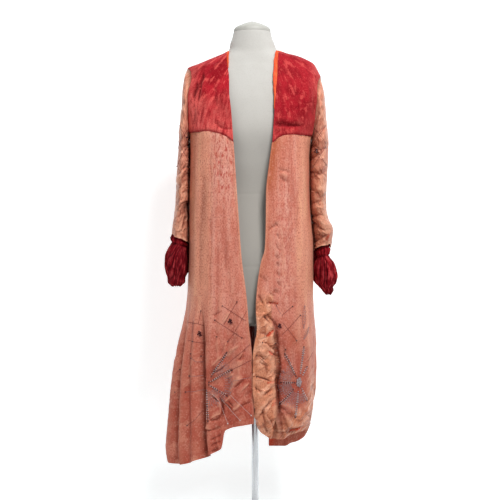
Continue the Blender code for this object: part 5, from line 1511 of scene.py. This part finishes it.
def linear(colour):
    """A linear colour with its alpha, from an sRGB hex value."""
    parts = [int(colour[place:place + 2], 16) / 255 for place in (1, 3, 5)]
    return (*[part / 12.92 if part <= 0.04045 else ((part + 0.055) / 1.055) ** 2.4 for part in parts], 1.0)


def add_node(tree, kind, inputs=None, **settings):
    """A node with its settings; an input is a value or another node's output."""
    node = tree.nodes.new(kind)
    for name, value in settings.items():
        setattr(node, name, value)
    for key, value in (inputs or {}).items():
        if isinstance(value, bpy.types.NodeSocket):
            tree.links.new(value, node.inputs[key])
        else:
            node.inputs[key].default_value = value
    return node


def new_finish(name, patterns, on_cloth=False, **constants):
    """A material with its constants on its shader's own sockets, and noise patterns at sizes in millimetres,
    over the cloth's flat map or the object's place. Gives the material, the coordinates and the patterns."""
    made = bpy.data.materials.new(name)
    made.use_nodes = True
    tree = made.node_tree
    for key, value in constants.items():
        tree.nodes["Principled BSDF"].inputs[key.replace("_", " ")].default_value = value
    if on_cloth:
        coordinates = add_node(tree, "ShaderNodeUVMap", uv_map="cloth").outputs["UV"]
    else:
        coordinates = add_node(tree, "ShaderNodeTexCoord").outputs["Object"]
    noises = {}
    for key, row in patterns.items():
        pattern = Pattern(*row)
        across, down = 1 / (pattern.across * MM), 1 / (pattern.down * MM)
        mapping = add_node(tree, "ShaderNodeMapping", {"Vector": coordinates, "Scale": (across, down, down)})
        noise = {"Vector": mapping.outputs["Vector"], "Scale": 1.0, "Detail": pattern.detail}
        noises[key] = add_node(tree, "ShaderNodeTexNoise", noise).outputs["Fac"]
    return made, coordinates, noises


def paint(made, patterns, ground, layers, *reliefs):
    """Mixes each layer over the ground where its pattern and its zone bring it up, and adds the bumps."""
    tree = made.node_tree
    shader = tree.nodes["Principled BSDF"]
    colour = linear(ground)
    for layer in table(Layer, *layers):
        shown = {"Value": patterns[layer.pattern], "From Min": layer.low, "From Max": layer.high,
                 "To Max": layer.strength}
        ranged = add_node(tree, "ShaderNodeMapRange", shown, interpolation_type="SMOOTHSTEP")
        amount = ranged.outputs["Result"]
        if layer.zone:
            zone = add_node(tree, "ShaderNodeAttribute", attribute_name=layer.zone).outputs["Fac"]
            kept = add_node(tree, "ShaderNodeMath", {0: zone, 1: amount}, operation="MULTIPLY")
            amount = kept.outputs["Value"]
        colour = add_node(tree, "ShaderNodeMix", {0: amount, 6: colour, 7: linear(layer.colour)},
                          data_type="RGBA").outputs[2]
    tree.links.new(colour, shader.inputs["Base Color"])
    below = {}
    for relief in table(Relief, *reliefs):
        bump = {"Height": patterns[relief.pattern], "Strength": relief.strength, "Distance": relief.distance}
        below = {"Normal": add_node(tree, "ShaderNodeBump", {**bump, **below}).outputs["Normal"]}
    tree.links.new(below["Normal"], shader.inputs["Normal"])
    return made


def plain_finish(name, patterns, ground, layers, relief, **constants):
    """A finish that needs no more than its patterns, its layers of colour and one bump."""
    made, _, noises = new_finish(name, patterns, **constants)
    return paint(made, noises, ground, layers, relief)


def worn_silk_velvet():
    """Silk velvet, its pile rubbed away: cloudy pinks, red streaks along the nap, gold satin at its turns."""
    made, cloth, patterns = new_finish(
        "worn silk velvet",
        {"cloud": (38, 90, 3), "blotch": (13, 20, 3), "nap": (15, 150, 1), "dash": (4.4, 18, 3),
         "pile": (3.0, 4.6, 2), "weave": (3.2, 5.5, 3), "waver": (26, 26, 2)},
        on_cloth=True, Sheen_Weight=0.05, Sheen_Roughness=0.45, Sheen_Tint=linear("#F2B49C"),
        Specular_IOR_Level=0.5, Specular_Tint=linear("#F0A080"))
    tree = made.node_tree
    bent = add_node(tree, "ShaderNodeVectorMath", {0: patterns["waver"], 1: (0.030, -0.030, 0.0), 2: cloth},
                    operation="MULTIPLY_ADD").outputs["Vector"]
    slanted = {"Vector": bent, "Rotation": (0.0, 0.0, 0.55), "Scale": (0.030, 0.0125, 1.0)}
    laid = add_node(tree, "ShaderNodeMapping", slanted, vector_type="TEXTURE").outputs["Vector"]
    facets = add_node(tree, "ShaderNodeTexVoronoi", {"Vector": laid, "Scale": 1.0, "Smoothness": 0.30},
                      feature="SMOOTH_F1").outputs
    crinkle = add_node(tree, "ShaderNodeAttribute", attribute_name="crinkle").outputs["Fac"]
    creased = add_node(tree, "ShaderNodeMath", {0: facets["Distance"], 1: crinkle}, operation="MULTIPLY")
    # The facets' random colour carries painted highlights and painted shade on the crinkled satin
    patterns["facet"] = facets["Color"]
    patterns["crease"] = creased.outputs["Value"]
    satin = add_node(tree, "ShaderNodeAttribute", attribute_name="satin").outputs["Fac"]
    gloss = add_node(tree, "ShaderNodeMapRange", {"Value": satin, "To Min": 0.50, "To Max": 0.25})
    tree.links.new(gloss.outputs["Result"], tree.nodes["Principled BSDF"].inputs["Roughness"])
    return paint(made, patterns, "#D0816E", (
        ("#BE6A59", "cloud", 0.34, 0.72, 0.55),
        ("#DDA08D", "blotch", 0.46, 0.70, 0.40),
        ("#A9574A", "nap", 0.50, 0.30, 0.45),
        ("#E2A898", "nap", 0.52, 0.72, 0.35),
        ("#DE967A", "cloud", 0.05, 0.45, 0.75, "tan"),
        ("#E2A680", "nap", 0.50, 0.70, 0.45, "tan"),
        ("#E4AC9C", "blotch", 0.30, 0.60, 0.55, "streak"),
        ("#E2B292", "blotch", 0.28, 0.62, 0.70, "faded"),
        ("#AE3A34", "dash", 0.53, 0.63, 0.90, "streak"),
        ("#A8522E", "blotch", 0.20, 0.50, 0.90, "amber"),
        ("#A03C2E", "cloud", 0.05, 0.60, 0.82, "brown"),
        ("#D28864", "pile", 0.10, 0.30, 0.85, "satin"),
        # Painted highlights and painted shade on the crinkled facets
        ("#EFB698", "facet", 0.54, 0.82, 0.58, "crinkle"),
        ("#84422E", "facet", 0.42, 0.15, 0.52, "crinkle"),
        ("#CC3A1C", "pile", 0.15, 0.35, 0.95, "slit"),
        # Painted highlight on ridges, painted shade in troughs and in the deep groove
        ("#F2B89A", "weave", 0.25, 0.65, 0.65, "ridge"),
        ("#6A2C22", "weave", 0.15, 0.45, 0.60, "trough"),
        ("#4A1E14", "weave", 0.10, 0.40, 0.75, "groove"),
        ("#964436", "weave", 0.50, 0.66, 0.50),
        ("#EAB4A0", "weave", 0.46, 0.32, 0.26),
    ), ("pile", 0.35, 0.0008), ("crease", 0.80, 0.0070))


def crimson_velvet():
    """Short crimson pile, crushed in cloudy patches that turn light or dark with the lie of the nap."""
    sizes = {"cloud": (46, 70, 2), "crush": (14, 26, 3), "nap": (6.5, 30, 3), "pile": (2.6, 4.0, 2)}
    return plain_finish("crushed crimson velvet", sizes, "#AA1E2A", (
        ("#800C19", "cloud", 0.44, 0.62, 0.85),
        ("#D85450", "crush", 0.52, 0.64, 0.80),
        ("#E4665F", "cloud", 0.20, 0.50, 0.85, "rubbed"),
        ("#E67E74", "nap", 0.50, 0.70, 0.55, "rubbed"),
        ("#780A16", "nap", 0.47, 0.36, 0.62),
        # Painted shade in the troughs of the yoke's relief and along its seam
        ("#52060E", "pile", 0.20, 0.40, 0.85, "trough"),
        ("#7C0E1B", "cloud", 0.10, 0.50, 0.60, "deep"),
        ("#8E121E", "pile", 0.52, 0.66, 0.50),
        ("#DC5C56", "pile", 0.44, 0.32, 0.35),
    ), ("pile", 0.45, 0.0010), on_cloth=True, Roughness=0.62, Sheen_Weight=0.35, Sheen_Roughness=0.40,
        Sheen_Tint=linear("#F0605C"), Specular_IOR_Level=0.3, Specular_Tint=linear("#E85050"))


def gathered_velvet():
    """Dark crimson velvet, nearly black, with a painted highlight on the ridges of its gathers."""
    sizes = {"cloud": (14, 26, 3), "nap": (2.4, 16, 2), "pile": (2.2, 3.6, 2)}
    return plain_finish("gathered dark crimson velvet", sizes, "#500E16", (
        # Painted highlight on the ridges of the gathers
        ("#9A1A22", "nap", 0.30, 0.60, 0.90, "ridge"),
        ("#CE4C50", "cloud", 0.44, 0.64, 0.80, "ridge"),
        ("#3A050A", "pile", 0.50, 0.70, 0.40),
        ("#A8202A", "cloud", 0.35, 0.65, 0.55, "frill"),
    ), ("pile", 0.40, 0.0008), on_cloth=True, Roughness=0.46, Specular_IOR_Level=0.0,
        Specular_Tint=linear("#E8323A"))


def orange_satin():
    """Bright orange satin ribbon, smooth along its length with a fine crosswise rib."""
    sizes = {"rib": (9, 2.2, 2), "cloud": (8, 22, 2)}
    return plain_finish("orange satin ribbon", sizes, "#D2471F", (
        ("#EA6A34", "cloud", 0.45, 0.65, 0.60),
        ("#B83A18", "rib", 0.54, 0.70, 0.40),
    ), ("rib", 0.30, 0.0005), on_cloth=True, Roughness=0.66, Specular_IOR_Level=0.25, Sheen_Weight=0.08,
        Sheen_Roughness=0.4, Sheen_Tint=linear("#FFB890"))


def sateen_lining():
    """Dark red-brown cotton sateen inside the coat, with soft wear along the grain."""
    sizes = {"grain": (3, 30, 2), "cloud": (40, 60, 2)}
    return plain_finish("red-brown sateen lining", sizes, "#842C24", (
        ("#6E1A16", "cloud", 0.40, 0.62, 0.70),
        ("#8C4436", "grain", 0.50, 0.70, 0.40),
    ), ("grain", 0.20, 0.0005), on_cloth=True, Roughness=0.55, Specular_IOR_Level=0.3)


def grey_jersey():
    """Pale grey stretched jersey: a matt knit, greyed low down by painted shade, with faint handling marks.
    """
    made, place, patterns = new_finish(
        "grey cotton jersey", {"knit": (2.2, 2.6, 2), "mark": (60, 90, 3)}, Roughness=0.85, Sheen_Weight=0.12,
        Sheen_Roughness=0.5, Specular_IOR_Level=0.15)
    patterns["height"] = add_node(made.node_tree, "ShaderNodeSeparateXYZ", {"Vector": place}).outputs["Z"]
    return paint(made, patterns, "#C1BFBA", (
        # Painted shade: darker from the chest down, where the coat shades the form
        ("#A8A39B", "height", 1.42, 0.90, 0.90),
        ("#A8A49D", "mark", 0.45, 0.70, 0.20),
        ("#A4A099", "knit", 0.50, 0.70, 0.30),
    ), ("knit", 0.25, 0.0005))


def painted(name, ground, light, roughness):
    """Satin paint with a fine orange-peel and faint scuffs."""
    sizes = {"peel": (2.0, 2.0, 2), "scuff": (24, 12, 4)}
    layers = ((light, "scuff", 0.46, 0.66, 0.5),)
    return plain_finish(name, sizes, ground, layers, ("peel", 0.08, 0.0004), Roughness=roughness)


def chromed_steel():
    """Chromed steel tube: bright, with faint wiping marks along it."""
    made, _, patterns = new_finish("chromed steel", {"wipe": (3, 70, 3)}, Metallic=1.0)
    tree = made.node_tree
    rough = add_node(tree, "ShaderNodeMapRange", {"Value": patterns["wipe"], "To Min": 0.22, "To Max": 0.34})
    tree.links.new(rough.outputs["Result"], tree.nodes["Principled BSDF"].inputs["Roughness"])
    return paint(made, patterns, "#DADDE0", (("#C4C9CD", "wipe", 0.45, 0.65, 0.6),), ("wipe", 0.03, 0.0002))


def glass_beads(name, ground, tint):
    """Small pressed-glass beads: dark and glossy, a little uneven in colour from bead to bead."""
    sizes = {"lot": (4, 4, 0), "swirl": (1.2, 1.2, 1)}
    layers = ((tint, "lot", 0.42, 0.62, 0.8),)
    return plain_finish(name, sizes, ground, layers, ("swirl", 0.05, 0.0002), Roughness=0.18, IOR=1.52)


def twisted_thread(name, ground, tint):
    """Two-ply couching thread: matt, with the twist as small light and dark steps."""
    layers = ((tint, "twist", 0.44, 0.60, 0.8),)
    return plain_finish(name, {"twist": (1.8, 1.8, 1)}, ground, layers, ("twist", 0.3, 0.0004), Roughness=0.7)


def studio_paper(name, glow, tone):
    """White studio paper: matt, with a barely visible tooth, lit from behind where it glows, and seen only
    from its front so that the coat's back can be looked at."""
    made, _, patterns = new_finish(name, {"tooth": (6, 6, 2)}, Roughness=0.95, Specular_IOR_Level=0.0,
                                   Emission_Color=linear("#FFFFFF"), Emission_Strength=glow)
    tree = made.node_tree
    behind = add_node(tree, "ShaderNodeNewGeometry").outputs["Backfacing"]
    clear = add_node(tree, "ShaderNodeBsdfTransparent").outputs["BSDF"]
    sided = add_node(tree, "ShaderNodeMixShader",
                     {0: behind, 1: tree.nodes["Principled BSDF"].outputs["BSDF"], 2: clear})
    tree.links.new(sided.outputs["Shader"], tree.nodes["Material Output"].inputs["Surface"])
    return paint(made, patterns, tone, (("#E4E4E4", "tooth", 0.4, 0.7, 0.1),), ("tooth", 0.02, 0.0005))


def sewing_tree(name, sizes):
    """A Geometry Nodes tree for sewing along edges, with its size inputs, its input mesh and its material."""
    tree = bpy.data.node_groups.new(name, "GeometryNodeTree")
    tree.interface.new_socket("Geometry", in_out="OUTPUT", socket_type="NodeSocketGeometry")
    tree.interface.new_socket("Geometry", in_out="INPUT", socket_type="NodeSocketGeometry")
    for size in sizes:
        tree.interface.new_socket(size, in_out="INPUT", socket_type="NodeSocketFloat")
    tree.interface.new_socket("Finish", in_out="INPUT", socket_type="NodeSocketMaterial")
    return tree, add_node(tree, "NodeGroupInput").outputs


def finish_tree(tree, start, geometry):
    real = add_node(tree, "GeometryNodeRealizeInstances", {"Geometry": geometry}).outputs["Geometry"]
    faced = add_node(tree, "GeometryNodeSetMaterial", {"Geometry": real, "Material": start["Finish"]})
    add_node(tree, "NodeGroupOutput", {"Geometry": faced.outputs["Geometry"]})
    return tree


def set_beads(tree, start, points, segments, rings, sizes, seed):
    """Sets a bead on each point, each a little different in size by a fixed seed."""
    ball = {"Segments": segments, "Rings": rings, "Radius": start["Radius"]}
    bead = add_node(tree, "GeometryNodeMeshUVSphere", ball).outputs["Mesh"]
    size = add_node(tree, "FunctionNodeRandomValue", {2: sizes[0], 3: sizes[1], "Seed": seed},
                    data_type="FLOAT")
    placed = add_node(tree, "GeometryNodeInstanceOnPoints",
                      {"Points": points, "Instance": bead, "Scale": size.outputs[1]})
    return finish_tree(tree, start, placed.outputs["Instances"])


def bead_tree():
    """Beads along edges at a spacing."""
    tree, start = sewing_tree("bead string", ("Spacing", "Radius"))
    path = add_node(tree, "GeometryNodeMeshToCurve", {"Mesh": start["Geometry"]}).outputs["Curve"]
    spaced = add_node(tree, "GeometryNodeResampleCurve", {"Curve": path, "Length": start["Spacing"]},
                      mode="LENGTH")
    return set_beads(tree, start, spaced.outputs["Curve"], 8, 5, (0.82, 1.14), 7)


def single_bead_tree():
    """One bead on each point of a mesh."""
    tree, start = sewing_tree("single beads", ("Radius",))
    return set_beads(tree, start, start["Geometry"], 10, 6, (0.85, 1.12), 11)


def thread_tree():
    """A round thread along edges."""
    tree, start = sewing_tree("couched thread", ("Radius",))
    path = add_node(tree, "GeometryNodeMeshToCurve", {"Mesh": start["Geometry"]}).outputs["Curve"]
    section = add_node(tree, "GeometryNodeCurvePrimitiveCircle", {"Resolution": 5, "Radius": start["Radius"]})
    tube = add_node(tree, "GeometryNodeCurveToMesh",
                    {"Curve": path, "Profile Curve": section.outputs["Curve"], "Fill Caps": True})
    return finish_tree(tree, start, tube.outputs["Mesh"])


def sewn(name, tree, points, edges, finish, **sizes):
    """Runs a sewing tree over points and edges, and keeps the result as a plain mesh."""
    mesh = bpy.data.meshes.new(name)
    mesh.from_pydata(points, edges, [])
    made = bpy.data.objects.new(name, mesh)
    bpy.context.scene.collection.objects.link(made)
    modifier = made.modifiers.new("sewing", "NODES")
    modifier.node_group = tree
    given = {"Finish": finish, **sizes}
    for socket in tree.interface.items_tree:
        if socket.in_out == "INPUT" and socket.name in given:
            modifier[socket.identifier] = given[socket.name]
    result = bpy.data.meshes.new_from_object(made.evaluated_get(bpy.context.evaluated_depsgraph_get()))
    made.modifiers.clear()
    made.data = result
    result.name = name
    result.shade_smooth()
    return made


class Embroidery:
    """Collects paths and beads on the cloth, found by looking straight at it from the front."""

    def __init__(self, hosts):
        self.hosts = hosts
        self.lines = {}
        self.beads = {}

    def touch(self, host, place, lift):
        """The cloth's point at a place in millimetres, lifted off its face; none where there is no cloth."""
        start = Vector((place[0] * MM, -1.0, place[1] * MM))
        hit, point, normal, _ = self.hosts[host].ray_cast(start, Vector((0.0, 1.0, 0.0)))
        if not hit or point.y > 0:
            return None
        return point + normal * lift

    def line(self, host, kind, path, lift):
        """Adds a path, cut into short steps that lie on the cloth."""
        places = [path[0]]
        for start, end in zip(path, path[1:]):
            steps = max(1, round(math.dist(start, end) / PATH_STEP))
            places += [tuple(first + (last - first) * step / steps for first, last in zip(start, end))
                       for step in range(1, steps + 1)]
        points, edges = self.lines.setdefault((host, kind), ([], []))
        before = None
        for place in places:
            point = self.touch(host, place, lift)
            if point is not None:
                points.append(point)
                if before is not None:
                    edges.append((before, len(points) - 1))
            before = len(points) - 1 if point is not None else None

    def bead(self, host, kind, place, lift):
        point = self.touch(host, place, lift)
        if point is not None:
            self.beads.setdefault((host, kind), []).append(point)


def polar(centre, bearing, radius):
    turn = math.radians(bearing)
    return centre[0] + radius * math.cos(turn), centre[1] + radius * math.sin(turn)


def embroider_stars(work):
    for star in STARS:
        for ray in star.rays:
            for row in (-1, 0, 1):
                spread = math.degrees(row * RAY_ROWS / ray.end)
                radii = np.linspace(ray.start, ray.end - 4 * abs(row), 12)
                path = [polar(star.centre, ray.bearing + spread * (1 + 0.3 * (step % 2)), radius)
                        for step, radius in enumerate(radii)]
                work.line(star.host, "string_pale" if row else "string_" + ray.beads, path, RAY_BEAD)
            work.bead(star.host, "jet", polar(star.centre, ray.bearing, ray.end + 3), END_BEAD * BEAD_SEAT)


def embroider_fans(work):
    scatter = np.random.default_rng(5)
    for fan in FANS:
        for step in range(fan.lines):
            bearing = between(fan.first, fan.last, step / (fan.lines - 1))
            reach = fan.end - (fan.end - fan.start) * 0.25 * (step % 3) / 2
            path = [polar(fan.centre, bearing, radius) for radius in (fan.start, reach)]
            work.line(fan.host, FINE_THREAD, path, THREAD_RADIUS)
        for bearing, reach in scatter.uniform((fan.first, 0.0), (fan.last, 1.0), (8 * fan.lines, 2)):
            radius = between(fan.start, fan.end, math.sqrt(reach))
            work.bead(fan.host, "seed", polar(fan.centre, bearing, radius), SEED_BEAD * 0.5)


def embroider_plumes(work):
    for plume in PLUMES:
        foot = np.array(plume.foot, float)
        run = plume.tip - foot
        aside = unit(np.array([-run[1], run[0]]))
        for sign in (-1, 1):
            path = [tuple(foot + run * share
                          + sign * aside * plume.width * math.sin(math.pi * share) * (0.6 + 0.4 * (step % 2)))
                    for step, share in enumerate(np.linspace(0.0, 1.0, 13))]
            work.line(plume.host, FINE_THREAD, path, THREAD_RADIUS)
        for share in np.linspace(0.08, 0.95, 9):
            work.bead(plume.host, "grey", tuple(foot + run * share), RAY_BEAD)


def embroider_couching(work):
    for host, rows in COUCHING.items():
        for couching in rows:
            work.line(host, couching.thread, couching.path, THREAD_RADIUS)
            for end in couching.beads:
                beads = "pale" if couching.thread == "silver" else "jet"
                work.bead(host, beads, couching.path[end], END_BEAD * BEAD_SEAT)


def embroider_clusters(work):
    golden = math.pi * (3 - math.sqrt(5))
    for cluster in CLUSTERS:
        for step in range(cluster.count):
            share = math.sqrt((step + 0.3) / cluster.count)
            place = (cluster.centre[0] + cluster.half_width * share * math.cos(golden * step),
                     cluster.centre[1] + cluster.half_height * share * math.sin(golden * step))
            work.bead(cluster.host, "cluster_" + cluster.beads, place, CLUSTER_BEAD * 0.6)


def beadwork(hosts):
    """Makes the embroidery's beads and threads, one object for each kind on each host."""
    beads = {kind: glass_beads(*row) for kind, row in BEADS.items()}
    threads = {kind: twisted_thread(*row) for kind, row in THREADS.items()}
    threads[FINE_THREAD] = threads["grey"]
    work = Embroidery(hosts)
    motifs = (embroider_stars, embroider_fans, embroider_plumes, embroider_couching, embroider_clusters)
    for embroider in motifs:
        embroider(work)
    strung, single, couched_down = bead_tree(), single_bead_tree(), thread_tree()
    made = {host: [] for host in hosts}
    for (host, kind), (points, edges) in work.lines.items():
        name = f"{host}_{kind}_sewing"
        if kind in STRINGS:
            row = STRINGS[kind]
            piece = sewn(name, strung, points, edges, beads[row.beads],
                         Spacing=row.spacing, Radius=row.radius)
        else:
            piece = sewn(name, couched_down, points, edges, threads[kind], Radius=THREAD_RADIUS)
        made[host].append(piece)
    for (host, kind), points in work.beads.items():
        row = SINGLES[kind]
        name = f"{host}_{kind}_beads"
        made[host].append(sewn(name, single, points, [], beads[row.beads], Radius=row.radius))
    return made


def backdrop():
    """A pale floor, and behind it a white paper wall with a cove."""
    curve = [(WALL_DEPTH - COVE_RADIUS * (1 - math.sin(turn)), COVE_RADIUS * (1 - math.cos(turn)))
             for turn in np.linspace(0.0, math.pi / 2, 13)]
    wall = curve + [(WALL_DEPTH, level) for level in WALL_LEVELS]
    for name, profile, paper in (("studio_floor", [(FLOOR_FRONT, 0.0), curve[0]], FLOOR_PAPER),
                                 ("studio_wall", wall, WALL_PAPER)):
        points = np.array([(side * paper.half_width, *place) for place in profile for side in (-1, 1)])
        index = np.arange(2 * len(profile)).reshape(-1, 2)
        faces = np.stack([index[:-1, 0], index[:-1, 1], index[1:, 1], index[1:, 0]], axis=-1)
        finish = studio_paper(name.replace("_", " ") + " paper", paper.glow, paper.tone)
        mesh_object(name, points, [faces], (finish,))


def studio():
    """The camera at the photograph's place, a soft key from the front right, and white surroundings."""
    scene = bpy.context.scene
    camera = bpy.data.cameras.new("camera")
    camera.angle = 2 * math.atan(VIEW_HALF_WIDTH / -CAMERA_PLACE[1])
    camera.dof.use_dof = False
    seat = bpy.data.objects.new("camera", camera)
    seat.location = CAMERA_PLACE
    seat.rotation_euler = (math.pi / 2, 0.0, 0.0)
    scene.collection.objects.link(seat)
    scene.camera = seat
    for row in LAMPS:
        lamp = bpy.data.lights.new(row.name, "AREA")
        lamp.size = row.size
        lamp.energy = row.power
        made = bpy.data.objects.new(row.name, lamp)
        made.location = row.place
        made.rotation_euler = (Vector(row.target) - Vector(row.place)).to_track_quat("-Z", "Y").to_euler()
        scene.collection.objects.link(made)
    world = bpy.data.worlds.new("white surroundings")
    world.use_nodes = True
    background = world.node_tree.nodes["Background"]
    background.inputs["Color"].default_value = (1.0, 1.0, 1.0, 1.0)
    background.inputs["Strength"].default_value = SURROUNDINGS
    scene.world = world
    scene.view_settings.view_transform = "Standard"


def dress():
    """Makes every piece, names it after the solid it stands for, sets it on the model's body and hides that
    solid.
    """
    lining = sateen_lining()
    cloths = (worn_silk_velvet, crimson_velvet, gathered_velvet)
    silk, velvet, gathers = ((cloth(), lining) for cloth in cloths)
    ribbon = (orange_satin(),) * 2
    cap_paint = painted("cream painted cap", "#AFAEA7", "#A3A29B", 0.55)
    base_paint = painted("grey painted steel", "#B4B4B2", "#A2A2A0", 0.35)
    pieces = table(
        Piece,
        ("coat_front_right", "cloth", coat_front, (RIGHT, silk), "salmon_silk"),
        ("coat_front_left", "cloth", coat_front, (LEFT, silk), "salmon_silk"),
        ("coat_back", "cloth", coat_back, (silk,), "salmon_silk"),
        ("side_flare_right", "cloth", side_flare, (RIGHT, silk), "salmon_silk"),
        ("side_flare_left", "cloth", side_flare, (LEFT, silk), "salmon_silk"),
        ("yoke_front_right", "cloth", yoke_front, (RIGHT, velvet), "crimson_velvet"),
        ("yoke_front_left", "cloth", yoke_front, (LEFT, velvet), "crimson_velvet"),
        ("yoke_back", "cloth", yoke_back, (velvet,), "crimson_velvet"),
        ("sleeve_right", "cloth", sleeve, (RIGHT, silk), "salmon_silk"),
        ("sleeve_left", "cloth", sleeve, (LEFT, silk), "salmon_silk"),
        ("cuff_right", "cloth", cuff, (RIGHT, gathers), "dark_velvet"),
        ("cuff_left", "cloth", cuff, (LEFT, gathers), "dark_velvet"),
        ("neck_binding", "cloth", neck_binding, (ribbon,), "orange_satin"),
        ("hem_band_left", "cloth", hem_band, (silk,), "salmon_silk"),
        ("form_torso", "cover", dress_form, (grey_jersey(),), "grey_jersey"),
        ("form_neck_cap", "shell", neck_cap, (cap_paint,), "neck_cap"),
        ("stand_pole", "tube", turned, (POLE_PROFILE, chromed_steel()), "chrome"),
        ("stand_base", "plate", turned, (BASE_PROFILE, base_paint), "painted_steel"),
    )
    made = {row.node: row.maker(f"{row.node}_{row.ending}", *row.arguments) for row in pieces}
    for row in pieces:
        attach(made[row.node], BODY)
        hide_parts(row.node)
    bpy.context.view_layer.update()
    sewing = beadwork({node: made[node] for node in EMBROIDERED})
    for host_pieces in sewing.values():
        for piece in host_pieces:
            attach(piece, BODY)


studio()
backdrop()
dress()
